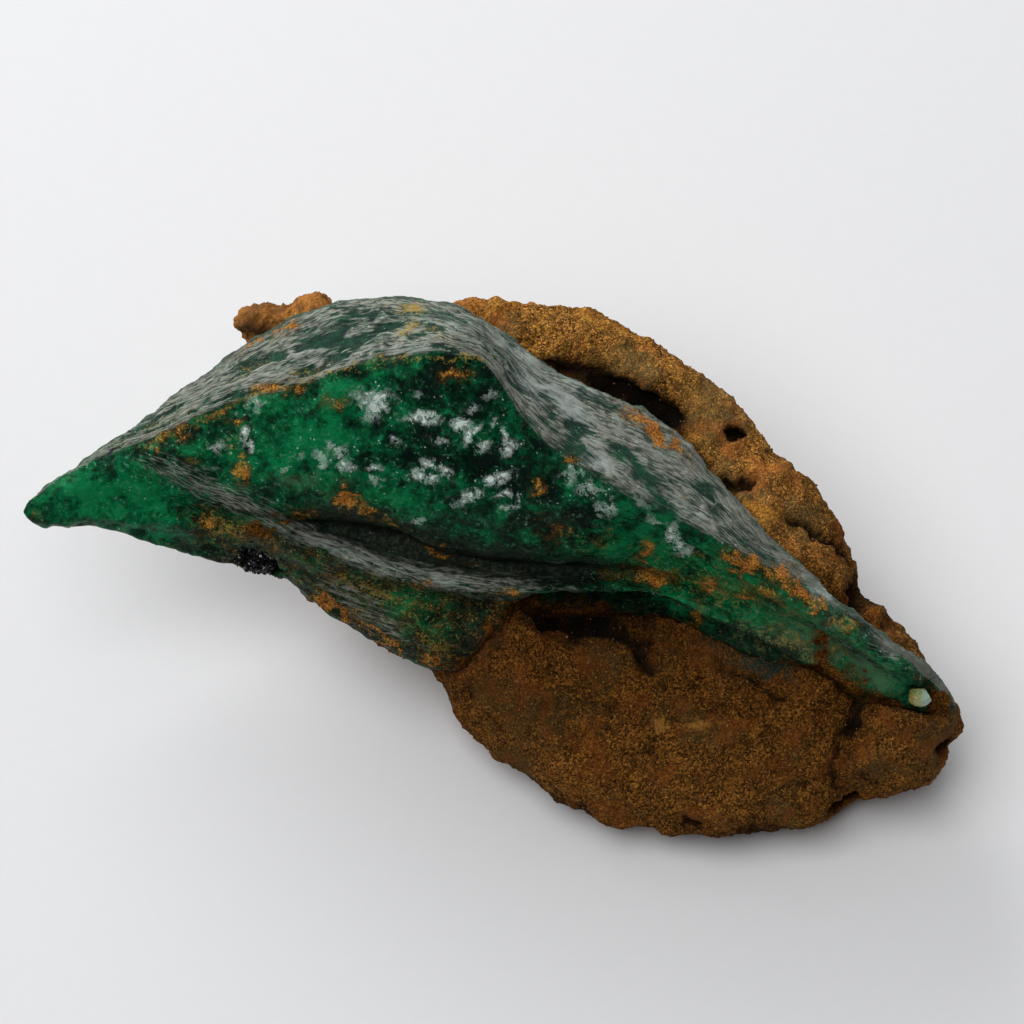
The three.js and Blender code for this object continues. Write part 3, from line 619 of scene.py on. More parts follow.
def distances(points, tree, reach):
    """Distance from each point to the nearest surface, and the way there, within reach."""
    gaps = np.full(len(points), reach)
    ways = np.zeros((len(points), 3))
    for i, p in enumerate(points):
        found, _, _, gap = tree.find_nearest(Vector(p), reach)
        if found is not None:
            gaps[i] = gap
            ways[i] = np.array(found) - p
    return gaps, ways


def finish_piece(obj, material, node):
    obj.data.materials.clear()
    obj.data.materials.append(material)
    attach(obj, "root")
    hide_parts(node)


# Materials


def shade(colour, share):
    return tuple(share * part for part in colour)


class Board:
    """Adds nodes to one tree and wires them."""

    def __init__(self, tree):
        self.tree = tree

    def add(self, kind, values=None, **settings):
        node = self.tree.nodes.new(kind)
        for name, value in settings.items():
            setattr(node, name, value)
        for socket, value in (values or {}).items():
            self.feed(node.inputs[socket], value)
        return node

    def feed(self, socket, value):
        if isinstance(value, bpy.types.NodeSocket):
            self.tree.links.new(value, socket)
        elif isinstance(value, tuple) and len(value) == 3 and socket.type == "RGBA":
            socket.default_value = (*value, 1.0)
        else:
            socket.default_value = value

    def math(self, operation, a, b=0.0):
        return self.add("ShaderNodeMath", {0: a, 1: b}, operation=operation).outputs[0]

    def times(self, a, b):
        return self.math("MULTIPLY", a, b)

    def most(self, first, *others):
        for other in others:
            first = self.math("MAXIMUM", first, other)
        return first

    def total(self, base, *terms):
        """The base plus each value times its weight."""
        for value, weight in terms:
            sockets = {0: value, 1: weight, 2: base}
            base = self.add("ShaderNodeMath", sockets, operation="MULTIPLY_ADD").outputs[0]
        return base

    def crease(self, cloud):
        """How far a noise is from its middle value, which it crosses along thin lines."""
        return self.math("ABSOLUTE", self.math("SUBTRACT", cloud, 0.5))

    def span(self, value, low, high, to_low=0.0, to_high=1.0):
        """The value from low to high, made a smooth step between two other values."""
        sockets = {"Value": value, 1: low, 2: high, 3: to_low, 4: to_high}
        node = self.add("ShaderNodeMapRange", sockets, interpolation_type="SMOOTHSTEP")
        return node.outputs["Result"]

    def blend(self, share, a, b):
        """A number between a and b."""
        return self.add("ShaderNodeMix", {0: share, 2: a, 3: b}, data_type="FLOAT").outputs[0]

    def mix(self, share, a, b, blend="MIX"):
        """A colour between a and b."""
        node = self.add("ShaderNodeMix", data_type="RGBA", blend_type=blend)
        self.feed(node.inputs["Factor"], share)
        self.feed(node.inputs[6], a)
        self.feed(node.inputs[7], b)
        return node.outputs[2]

    def noise(self, vector, scale, detail=4.0, roughness=0.55, distortion=0.0):
        """Cloud noise with about `scale` lumps to each unit of the vector."""
        sockets = {
            "Vector": vector, "Scale": scale, "Detail": detail, "Roughness": roughness,
            "Distortion": distortion,
        }
        return self.add("ShaderNodeTexNoise", sockets).outputs["Fac"]

    def cells(self, vector, per_metre):
        """A random colour for each cell, and the distance to the cell's middle."""
        found = self.add("ShaderNodeTexVoronoi", {"Vector": vector, "Scale": per_metre}).outputs
        chances = self.add("ShaderNodeSeparateColor", {0: found["Color"]}).outputs
        return chances, found["Distance"]

    def ramp(self, value, stops):
        node = self.add("ShaderNodeValToRGB", {"Fac": value})
        elements = node.color_ramp.elements
        while len(elements) < len(stops):
            elements.new(0.5)
        for element, (position, colour) in zip(elements, stops):
            element.position = position
            element.color = (*colour, 1.0)
        return node.outputs["Color"]

    def attribute(self, name, output="Fac"):
        return self.add("ShaderNodeAttribute", attribute_name=name).outputs[output]

    def bent(self, vector, scale, reach):
        """The vector mixed by the share `reach` with a noise, which bends what is drawn on it."""
        wobble = self.add("ShaderNodeTexNoise", {"Vector": vector, "Scale": scale, "Detail": 2.0})
        node = self.add("ShaderNodeMix", data_type="VECTOR")
        self.feed(node.inputs["Factor"], reach)
        self.feed(node.inputs[4], vector)
        self.feed(node.inputs[5], wobble.outputs["Color"])
        return node.outputs[1]

    def scaled(self, vector, scale):
        sockets = {"Vector": vector, "Scale": scale}
        return self.add("ShaderNodeMapping", sockets).outputs["Vector"]

    def dress(self, shader, colour, roughness, relief=None):
        """Feeds a shader. The relief is a height, its strength and its distance in metres."""
        self.feed(shader.inputs["Base Color"], colour)
        self.feed(shader.inputs["Roughness"], roughness)
        if relief:
            height, strength, distance = relief
            sockets = {"Height": height, "Strength": strength, "Distance": distance}
            bump = self.add("ShaderNodeBump", sockets)
            self.feed(shader.inputs["Normal"], bump.outputs["Normal"])


def new_material(name, **surface):
    """A material with its Principled shader; `surface` sets its plain sockets."""
    material = bpy.data.materials.new(name)
    material.use_nodes = True
    board = Board(material.node_tree)
    shader = material.node_tree.nodes["Principled BSDF"]
    for socket, value in surface.items():
        shader.inputs[socket.replace("_", " ")].default_value = value
    place = board.add("ShaderNodeTexCoord").outputs["Object"]
    return material, board, shader, place


def new_group(name, inputs, outputs):
    """A shader node group with its sockets, the board for it, and what it is given."""
    tree = bpy.data.node_groups.new(name, "ShaderNodeTree")
    for way, sockets in (("INPUT", inputs), ("OUTPUT", outputs)):
        for socket, kind in sockets.items():
            tree.interface.new_socket(socket, in_out=way, socket_type="NodeSocket" + kind)
    board = Board(tree)
    return tree, board, board.add("NodeGroupInput").outputs


def grain_group():
    """Sand grains: a tone for each grain, a mask of bright flecks, and the grains' height."""
    tree, board, given = new_group(
        "Sand grains",
        {"Vector": "Vector", "Grains per metre": "Float", "Fleck share": "Float"},
        {"Tone": "Float", "Fleck": "Float", "Height": "Float"},
    )
    vector = given["Vector"]
    chances, gap = board.cells(board.bent(vector, 1900.0, 0.0003), given["Grains per metre"])
    cloud = board.noise(vector, 700.0, 5.0, 0.65)
    edge = board.math("SUBTRACT", 1.0, given["Fleck share"])
    fleck = board.math("GREATER_THAN", chances[1], edge)
    board.add("NodeGroupOutput", {
        "Tone": board.total(0.0, (chances[0], 0.75), (cloud, 0.5)),
        "Fleck": board.times(fleck, board.span(gap, 0.15, 0.42, 1.0, 0.0)),
        "Height": board.math("SUBTRACT", 1.0, gap),
    })
    return tree


def grains(board, vector, per_metre, flecks):
    tree = bpy.data.node_groups.get("Sand grains") or grain_group()
    sockets = {"Vector": vector, "Grains per metre": per_metre, "Fleck share": flecks}
    return board.add("ShaderNodeGroup", sockets, node_tree=tree).outputs


def rust_group():
    """Iron stain: how thick it lies for a given amount, and its colour from brown to ochre."""
    tree, board, given = new_group(
        "Iron stain",
        {"Vector": "Vector", "Amount": "Float", "Rust": "Color"},
        {"Mask": "Float", "Colour": "Color"},
    )
    vector = given["Vector"]
    plain = given["Rust"]
    patch = board.noise(vector, 850.0, 6.0, 0.7, 0.5)
    speck = board.noise(vector, 7000.0, 2.0, 0.7)
    tint = board.noise(vector, 1300.0, 4.0, 0.6)
    level = board.total(0.0, (given["Amount"], 0.95), (patch, 1.6), (speck, 1.3))
    core = board.span(level, 2.02, 2.40)
    fringe = board.span(level, 1.74, 2.02, 0.0, 0.5)
    tone = board.total(-1.23, (tint, 1.35), (speck, 1.9), (core, 0.2))
    brown = board.mix(0.85, plain, RUST_DARK)
    pale = board.mix(0.7, plain, OCHRE_PALE)
    colour = board.mix(board.span(tone, 0.24, 0.64), brown, plain)
    colour = board.mix(board.span(tone, 0.60, 0.85), colour, pale)
    board.add("NodeGroupOutput", {
        "Mask": board.most(core, fringe),
        "Colour": board.mix(board.span(core, 0.0, 0.5), RUST_FRINGE, colour),
    })
    return tree


def rust(board, vector, amount):
    tree = bpy.data.node_groups.get("Iron stain") or rust_group()
    orange = tuple(bpy.context.scene.stone_colours.rust_orange)
    sockets = {"Vector": vector, "Amount": amount, "Rust": orange}
    return board.add("ShaderNodeGroup", sockets, node_tree=tree).outputs


def sandy(board, vector):
    """Brown sand: its colour, its height, and the coarse and the fine grains."""
    brown = tuple(bpy.context.scene.stone_colours.matrix_brown)
    coarse = grains(board, vector, 7000.0, 0.03)
    fine = grains(board, vector, 12000.0, 0.05)
    tone = board.total(-0.32, (coarse["Tone"], 0.7), (fine["Tone"], 0.6))
    levels = [(0.12, 0.15), (0.42, 0.72), (0.62, 1.40), (0.90, 3.20)]
    colour = board.ramp(tone, [(at, shade(brown, share)) for at, share in levels])
    height = board.total(
        0.0, (coarse["Height"], 0.7), (fine["Height"], 0.35), (coarse["Tone"], 0.6),
    )
    return colour, height, coarse, fine


def green_stone(board, place, mottle, fleck, crumple):
    """The green, from deep to bright in broken chips, with haze, fractures, painted glints as
    sparks, painted light coming through, and painted shade in the hollow.
    """
    colours = bpy.context.scene.stone_colours
    broad = board.noise(place, 240.0, 4.0, 0.6, 0.5)
    large_chip, large_gap = board.cells(board.bent(place, 1100.0, 0.0007), 820.0)
    small_chip, small_gap = board.cells(board.bent(place, 2600.0, 0.0004), 2300.0)
    # Painted light where light would come through thin parts, and painted shade in the hollow and
    # under the lip
    depth = board.total(
        -1.67, (broad, 1.45), (mottle, 0.80), (fleck, 1.0), (board.attribute("glow_and_shade"), 0.52),
        (board.attribute("scallop"), 0.6), (large_chip[0], 0.24), (large_gap, 0.12),
        (small_chip[0], 0.34), (small_gap, 0.16),
    )
    deep = tuple(colours.emerald_deep)
    bright = tuple(colours.emerald_bright)
    middle = tuple(0.6 * low + 0.36 * high for low, high in zip(deep, bright))
    pale = tuple(0.003 + 1.3 * high for high in bright)
    stops = [(0.05, BLACK_GREEN), (0.3, deep), (0.52, middle), (0.78, bright), (1.0, pale)]
    colour = board.ramp(depth, stops)
    haze = board.total(0.0, (board.attribute("haze"), 1.0), (crumple, 2.2))
    haze = board.times(board.span(haze, 1.45, 2.4), 0.45)
    colour = board.mix(haze, colour, HAZE_GREEN)
    crack = board.span(board.crease(board.noise(place, 640.0, 3.0, 0.5, 0.6)), 0.0, 0.011, 0.6, 0.0)
    crack = board.times(crack, board.span(broad, 0.42, 0.54))
    colour = board.mix(crack, colour, BLACK_GREEN)
    # Painted glints: small pale green sparks
    spark = board.times(board.span(fleck, 0.59, 0.66), board.span(mottle, 0.42, 0.54))
    colour = board.mix(board.times(spark, 0.6), colour, SPARK_GREEN)
    colour = board.mix(board.times(board.attribute("flank"), 0.72), colour, FLANK_GREEN)
    # Painted shade: the hollow under the face and the gaps by the matrix go near black green
    shade_tone = board.mix(board.span(fleck, 0.42, 0.62), SHADE_DARK, SHADE_PALE)
    return board.mix(board.times(board.attribute("painted_shade"), 0.9), colour, shade_tone)


def worn_skin_and_sheen(board):
    """The mask and colour of the worn grey skin with its painted sheen, and the streaks that it
    lies in.
    """
    flow = board.attribute("flow", "Vector")
    long_streak = board.noise(board.scaled(flow, (0.030, 0.26, 0.26)), 1.0, 5.0, 0.6, 0.5)
    fine_streak = board.noise(board.scaled(flow, (0.095, 0.62, 0.62)), 1.0, 4.0, 0.62, 0.4)
    lens_streak = board.noise(board.scaled(flow, (0.024, 0.105, 0.105)), 1.0, 2.0, 0.5, 0.8)
    right = board.attribute("right")
    streak = board.blend(
        right,
        board.total(0.0, (long_streak, 0.55), (fine_streak, 0.45)),
        board.total(0.04, (lens_streak, 0.42), (long_streak, 0.18), (fine_streak, 0.40)),
    )
    # The grey on the flank and the lip is worn skin together with painted sheen, a painted
    # reflection of the bright room
    amount = board.attribute("skin_and_sheen")
    mask = board.span(board.total(0.0, (amount, 0.8), (streak, 3.2)), 1.78, 2.5)
    mask = board.times(mask, board.span(amount, 0.05, 0.3))
    skin_and_sheen_tone = tuple(bpy.context.scene.stone_colours.skin_and_sheen_grey)
    # The right flank's grey and painted sheen are brighter
    dim = board.mix(right, shade(skin_and_sheen_tone, 0.28), shade(skin_and_sheen_tone, 0.40))
    colour = board.mix(board.span(fine_streak, 0.39, 0.61), dim, shade(skin_and_sheen_tone, 1.55))
    # A paler painted sheen over the grey
    sheen = board.total(0.0, (board.attribute("sheen"), 1.0), (long_streak, 1.5))
    shine = (1.85 * skin_and_sheen_tone[0], 1.95 * skin_and_sheen_tone[1], 2.2 * skin_and_sheen_tone[2])
    colour = board.mix(board.span(sheen, 0.9, 1.7, 0.0, 0.85), colour, shine)
    return mask, colour, board.times(streak, amount)


def frost_and_glint_mask(board, place, mottle, fleck, crumple):
    """Frosted breaks with painted glints, green holes, soft edges and fine lines, and small white
    dots of painted glint.
    """
    amount = board.attribute("frost_and_glint")
    level = board.total(0.0, (amount, 0.6), (crumple, 1.9), (fleck, 0.15))
    facet = board.cells(board.bent(place, 2600.0, 0.0005), 3400.0)[0][0]
    hole = board.span(board.noise(place, 1700.0, 4.0, 0.6, 0.4), 0.53, 0.58, 1.0, 0.12)
    grainy = board.times(hole, board.span(facet, 0.1, 0.6, 0.55, 1.0))
    core = board.times(board.span(level, 1.50, 1.56), grainy)
    wide = board.span(level, 1.15, 1.5, 0.0, 0.15)
    halo = board.math("ADD", wide, board.span(level, 1.38, 1.44, 0.0, 0.15))
    lines = board.span(board.crease(crumple), 0.0, 0.018, 0.95, 0.0)
    lines = board.times(lines, board.span(level, 1.20, 1.32))
    frost_and_glint = board.times(board.most(core, halo, lines), board.span(amount, 0.02, 0.25))
    dots = board.times(grains(board, place, 5200.0, 0.06)["Fleck"], board.span(mottle, 0.46, 0.56))
    return board.most(frost_and_glint, board.times(dots, board.span(amount, 0.0, 0.02, 0.4, 0.8)))


def emerald_material():
    """Deep green with a worn grey skin, frosted breaks, ochre dust, iron stain and mud."""
    material, board, shader, place = new_material(
        "Emerald", IOR=1.5, Specular_IOR_Level=0.04, Subsurface_Weight=0.25, Subsurface_Scale=0.001
    )
    shader.inputs["Subsurface Radius"].default_value = (0.1, 1.0, 0.5)
    mottle = board.noise(place, 900.0, 3.0, 0.5, 0.4)
    fleck = board.noise(place, 3400.0, 3.0, 0.75)
    crumple = board.noise(place, 1500.0, 6.0, 0.72, 0.3)
    colour = green_stone(board, place, mottle, fleck, crumple)
    skin_and_sheen, grey, grooves = worn_skin_and_sheen(board)
    colour = board.mix(board.times(skin_and_sheen, 0.88), colour, grey)
    # Painted glints: white patches and dots where the breaks would mirror the window
    frost_and_glint = frost_and_glint_mask(board, place, mottle, fleck, crumple)
    colour = board.mix(frost_and_glint, colour, tuple(bpy.context.scene.stone_colours.frost_and_glint_white))

    # Ochre dust, iron stain, the mud where the stone meets its matrix, and painted shade in the
    # crease there
    grit = board.noise(place, 6500.0, 2.0, 0.7)
    ochre = board.total(
        0.0, (board.attribute("ochre"), 0.8), (crumple, 1.2), (fleck, 0.9), (grit, 1.8)
    )
    ochre = board.times(board.span(ochre, 2.28, 2.75), 0.85)
    colour = board.mix(ochre, colour, OCHRE_DUST)
    stain = rust(board, place, board.attribute("stain"))
    colour = board.mix(board.times(stain["Mask"], 0.93), colour, stain["Colour"])
    earth, earth_height, _, fine = sandy(board, place)
    earth = board.mix(board.times(fine["Fleck"], 0.7), earth, GOLD_FLECK)
    mud = board.total(0.0, (board.attribute("near"), 0.9), (mottle, 1.1), (fleck, 0.8))
    mud = board.span(mud, 1.25, 1.65)
    colour = board.mix(mud, colour, earth)
    # Painted shade: dark brown in the tight crease where the emerald meets the matrix
    contact_shade = board.times(board.attribute("contact_shade"), board.span(mottle, 0.3, 0.6, 0.4, 1.0))
    colour = board.mix(contact_shade, colour, CONTACT_SHADE_BROWN)

    # The painted shade mask also makes the hollow rougher
    painted_shade = board.attribute("painted_shade")
    gloss = board.total(0.0, (skin_and_sheen, 0.20), (frost_and_glint, 0.3), (fleck, 0.36), (painted_shade, 0.35))
    roughness = board.blend(board.most(stain["Mask"], contact_shade, mud), gloss, 0.92)
    height = board.total(
        0.0, (grooves, 1.5), (fleck, 0.5), (crumple, 0.9), (stain["Mask"], 0.35),
        (board.times(mud, earth_height), 0.7),
    )
    board.dress(shader, colour, roughness, (height, 0.8, 0.00022))
    return material


def matrix_material():
    """Brown sandy matrix with golden flecks, rusty powder, painted daylight, and painted shade in
    its dark hollows and cracks.
    """
    material, board, shader, place = new_material("Iron-stained matrix", Specular_IOR_Level=0.08)
    colour, height, coarse, fine = sandy(board, place)
    patch = board.span(board.noise(place, 230.0, 5.0, 0.62, 0.3), 0.47, 0.66, 0.0, 0.6)
    colour = board.mix(patch, colour, MATRIX_DULL)
    redder = board.span(board.noise(place, 480.0, 4.0, 0.6), 0.48, 0.66, 0.0, 0.5)
    colour = board.mix(redder, colour, MATRIX_RED)
    # Painted light: the rim, the front base and the blunt end are made lighter in colour, as if the
    # daylight fell on them
    light = board.mix(board.attribute("light"), (1.0, 1.0, 1.0), DAYLIGHT_LIFT)
    colour = board.mix(1.0, colour, light, "MULTIPLY")
    clay = board.total(0.0, (board.attribute("clay"), 1.0), (coarse["Tone"], 0.4))
    colour = board.mix(board.span(clay, 0.6, 1.2, 0.0, 0.7), colour, MATRIX_CLAY)
    stain = rust(board, place, board.attribute("powder"))
    colour = board.mix(board.times(stain["Mask"], 0.7), colour, stain["Colour"])
    sparkle = board.most(coarse["Fleck"], fine["Fleck"])
    colour = board.mix(board.times(sparkle, 0.75), colour, GOLD_FLECK)
    smudge = board.noise(place, 900.0, 5.0, 0.65)
    slate = board.total(0.0, (board.attribute("slate"), 0.9), (smudge, 1.3))
    smear = board.mix(board.span(fine["Tone"], 0.3, 0.9), SLATE_DARK, SLATE_PALE)
    colour = board.mix(board.span(slate, 1.0, 1.75, 0.0, 0.93), colour, smear)
    # Painted shade in the cracks, the gaps beside the emerald and the low parts
    colour = board.mix(board.attribute("hollow"), colour, HOLLOW_SHADE)
    roughness = board.span(sparkle, 0.0, 1.0, 0.95, 0.35)
    board.dress(shader, colour, roughness, (height, 0.9, 0.00014))
    return material


def clay_material():
    """Matt ochre clay with darker lumps, and darker spots and painted shade in its hollows."""
    material, board, shader, place = new_material("Ochre clay", Specular_IOR_Level=0.3)
    ochre = tuple(bpy.context.scene.stone_colours.clay_ochre)
    sand = grains(board, place, 7200.0, 0.02)
    colour = board.ramp(sand["Tone"], [(0.2, shade(ochre, 0.45)), (0.8, shade(ochre, 1.4))])
    lumps = board.span(board.noise(place, 520.0, 5.0, 0.6), 0.42, 0.58, 0.0, 0.75)
    colour = board.mix(lumps, colour, CLAY_BROWN)
    # Darker spots and painted shade in the hollows
    colour = board.mix(board.attribute("hollow"), colour, CLAY_DARK_AND_SHADE)
    board.dress(shader, colour, 0.95, (sand["Height"], 0.6, 0.00008))
    return material


def grain_material(name, dark, light):
    """Loose grains, each with a tone of its own."""
    material, board, shader, place = new_material(name, Specular_IOR_Level=0.4)
    chance = board.attribute("tone")
    fine = board.noise(place, 5200.0, 2.0)
    level = board.math("ADD", board.times(chance, 0.8), board.times(fine, 0.2))
    brightest = tuple(min(1.0, part) for part in shade(light, 1.7))
    colour = board.ramp(level, [(0.1, dark), (0.75, light), (1.0, brightest)])
    board.dress(shader, colour, board.span(chance, 0.85, 0.95, 0.9, 0.4))
    return material


def black_material():
    """Black plates, of which a few catch the light as painted pale glints."""
    material, board, shader, place = new_material("Black plates", Specular_IOR_Level=0.3)
    colour = board.ramp(board.attribute("tone"), PLATE_TONES)
    smudge = board.noise(place, 2600.0, 3.0)
    board.dress(shader, colour, board.span(smudge, 0.3, 0.7, 0.12, 0.4))
    return material


def knob_material():
    """Cloudy yellow green, paler and clearer on one side."""
    material, board, shader, place = new_material(
        "Pale green crystal", IOR=1.575, Subsurface_Weight=0.5, Subsurface_Scale=0.001
    )
    cloud = board.noise(place, 1500.0, 4.0, 0.6, 0.5)
    colour = board.ramp(cloud, KNOB_TONES)
    colour = board.mix(board.attribute("clear"), colour, board.mix(cloud, *KNOB_CLEAR))
    stain = rust(board, place, board.attribute("stain"))
    colour = board.mix(stain["Mask"], colour, stain["Colour"])
    roughness = board.span(cloud, 0.3, 0.7, 0.15, 0.4)
    board.dress(shader, colour, roughness, (cloud, 0.5, 0.0001))
    return material


# Pieces


class EmeraldSides:
    """What lies where on the emerald: the sides that the eye sees, the flank and the lip."""

    def __init__(self, mesh):
        self.points = points_of(mesh)
        self.normals = normals_of(mesh)
        self.places = picture_places(self.points)
        self.columns = self.places[:, 0]
        self.marks = ragged(self.places, self.points, 7)
        self.facing = smooth_step(self.normals @ np.array(TO_EYE), 0.0, 0.3)
        crest = line_height(self.places, CREST_LINE)
        back = line_height(self.places, BACK_LINE)
        self.climb = (crest - self.places[:, 1]) / np.maximum(crest - back, 6)
        self.flank = self.facing * smooth_step(self.climb, -0.03, 0.12)
        self.lip_gap = self.places[:, 1] - line_height(self.places, LIP_LINE)
        lip = self.facing * np.exp(-((self.lip_gap / LIP_HALF_WIDTH) ** 2))
        lip *= smooth_step(self.columns, *LIP_RISES)
        self.lip = lip * (1 - smooth_step(self.columns, *LIP_FADES))
        below = smooth_step(self.lip_gap, 2, 14)
        self.below_lip = below * smooth_step(self.columns, *LOWER_FACET_STARTS)
        # Painted shade in the hollow under the face and where the lip meets the matrix
        self.painted_shade = self.facing * np.clip(spot_strength(self.marks, PAINTED_SHADE_SPOTS), 0, 1)
        self.flow = self.streak_flow()
        self.islands = self.bare_islands()

    def streak_flow(self):
        """The streaks' coordinates: along the stone, and down from the crest or the lip."""
        level = np.zeros(len(self.points))
        above = np.column_stack((self.columns, self.climb * 62, level))
        below = np.column_stack((self.columns, self.lip_gap - 40, level))
        share = smooth_step(self.climb, -0.3, 0.0)[:, None]
        hidden = self.points / MM * 8
        flow = above * share + below * (1 - share)
        return flow * self.facing[:, None] + hidden * (1 - self.facing[:, None])

    def bare_islands(self):
        """Long sunken patches of the flank that the grey skin and its painted sheen leave bare."""
        cloud = rough(self.flow / np.array([46, 12, 46]), 1.0, 3, 0.6, 3.3)
        islands = smooth_step(cloud, 0.04, 0.26)
        islands *= self.flank * smooth_step(1.15 - self.climb, 0.1, 0.7)
        return islands * (1 - 0.65 * smooth_step(self.columns, *ISLANDS_FADE))


def shape_emerald(obj, shape):
    """Scallops on the front face, ripples on the flank, and the masks of the marks."""
    mesh = obj.data
    sides = EmeraldSides(mesh)
    points = sides.points
    big_cells = cells(points, 1.9 * MM)
    small_cells = cells(points, 0.85 * MM, 3.1)
    lumps = rough(points, 3.6 * MM, 4)
    fine = rough(points, 0.6 * MM, 3, 0.6, 5.0)
    ripples = rough(sides.flow / np.array([26, 5.5, 26]), 1.0, 4, 0.7)
    streaked = np.clip(sides.flank + sides.lip, 0, 1)
    broken = 1 - np.clip(sides.flank + sides.lip + sides.painted_shade, 0, 1)
    scallops = 0.75 * (big_cells[:, 0] - 0.45) + 0.4 * (small_cells[:, 0] - 0.45)
    height = 0.15 * MM * lumps + 0.02 * MM * fine - 0.11 * MM * sides.islands
    height += shape.scallop_depth * scallops * broken
    height += shape.ripple_depth * ripples * (0.35 + 0.65 * streaked)
    height *= 1 - 0.7 * smooth_step(np.abs(sides.columns - MIDDLE_COLUMN), *TIPS_BEYOND)
    gap, _ = distances(points, tree_of(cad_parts["matrix"]), 2.2 * MM)
    height *= smooth_step(gap / MM, 0.25, 0.8)
    move_points(mesh, points + sides.normals * height[:, None])
    store(mesh, "scallop", np.clip(scallops, -0.5, 0.5) * broken)
    mark_skin_and_painted_light(mesh, sides)
    mark_stains(mesh, sides, gap / MM)
    shade_smooth(mesh)


def mark_skin_and_painted_light(mesh, sides):
    """The masks of the flank, the worn skin with its painted sheen, the frosted breaks with painted
    glints, and the painted light and shade in the stone.
    """
    facing = sides.facing
    columns = sides.columns
    marks = sides.marks
    lenses = np.clip(spot_strength(marks, SKIN_AND_SHEEN_GAPS), 0, 1)
    # Worn skin together with painted sheen, cut away in the bare patches
    skin_and_sheen = sides.flank * (1 - lenses) * (1 - 0.9 * sides.islands) + 0.95 * sides.lip
    skin_and_sheen *= 1 - 0.45 * smooth_step(columns, *SKIN_AND_SHEEN_FADES)
    skin_and_sheen += facing * 0.4 * line_strength(sides.places, END_SLIVER, 9)
    skin_and_sheen += facing * spot_strength(marks, SKIN_AND_SHEEN_SPOTS) * 0.9
    skin_and_sheen = skin_and_sheen * facing + 0.55 * (1 - facing)
    # The paler painted sheen
    sheen = facing * spot_strength(marks, SHEEN_SPOTS)
    sheen *= 1 - 0.35 * smooth_step(columns, *SHEEN_FADES)
    # Frosted breaks and painted glints on the front face
    frost_and_glint = spot_strength(ragged(sides.places, sides.points, 4), FROST_AND_GLINT_SPOTS)
    store(mesh, "flank", np.maximum(sides.flank, 0.7 * (1 - facing)))
    store(mesh, "right", sides.flank * smooth_step(columns, *RIGHT_FLANK_STARTS))
    store(mesh, "skin_and_sheen", np.clip(skin_and_sheen, 0, 1))
    store(mesh, "sheen", sheen)
    store(mesh, "painted_shade", sides.painted_shade)
    store(mesh, "haze", spot_strength(marks, HAZE_SPOTS) * facing)
    # Painted light coming through, and painted shade in the hollow and below the lip
    store(mesh, "glow_and_shade", (spot_sum(sides.places, GLOW_AND_SHADE_SPOTS) - 0.45 * sides.below_lip) * facing)
    store(mesh, "frost_and_glint", frost_and_glint * facing)
    store_vectors(mesh, "flow", sides.flow)


def mark_stains(mesh, sides, gap_mm):
    """The masks of the ochre dust, the iron stain, the mud beside the matrix, and the painted shade
    in the crease against it.
    """
    facing = sides.facing
    points = sides.points
    marks = sides.marks
    stain = spot_strength(ragged(sides.places, points, 10), STAIN_SPOTS)
    stain = np.maximum(stain, 0.75 * line_strength(marks, CREST_STAIN, 4))
    stain = np.maximum(stain, 0.42 * sides.below_lip) * facing
    blotches = smooth_step(rough(points, 5 * MM, 3, 0.6, 9.0), 0.1, 0.5)
    stain = np.maximum(stain, 0.6 * blotches * (1 - facing))
    reach = 0.5 + 1.3 * smooth_step(rough(points, 2.2 * MM, 3, 0.6, 11.0), -0.3, 0.6)
    # Towards the right end the mud and the painted shade both grow fainter
    fainter_mud_and_shade = facing * smooth_step(sides.columns, *FAINTER_MUD_AND_SHADE_STARTS)
    near = (1 - smooth_step(gap_mm / reach, 0.25, 1.0)) * (1 - 0.7 * fainter_mud_and_shade)
    mud = facing * spot_strength(ragged(sides.places, points, 12), MUD_SPOTS)
    near = np.maximum(near, mud)
    dust = spot_strength(marks, OCHRE_SPOTS)
    dust = np.maximum(dust, 0.55 * line_strength(marks, CREST_DUST, 5))
    # Painted shade where the emerald nearly touches the matrix
    contact_shade = 0.9 * near * (1 - smooth_step(gap_mm, 0.25, 0.6)) * (1 - 0.8 * fainter_mud_and_shade)
    store(mesh, "stain", np.maximum(stain, 0.45 * near))
    store(mesh, "ochre", np.maximum(dust, 0.28 * sides.below_lip) * facing)
    store(mesh, "near", near)
    store(mesh, "contact_shade", contact_shade)


def close_up(points, neighbour, reach, near, far, overlap):
    """The points, moved into a neighbour's surface where they are near it."""
    gap, way = distances(points, neighbour, reach)
    length = np.maximum(np.linalg.norm(way, axis=1), 1e-9)
    closing = (1 - smooth_step(gap / MM, near, far)) * (gap + overlap) / length
    closing[gap >= reach] = 0
    return points + way * closing[:, None]


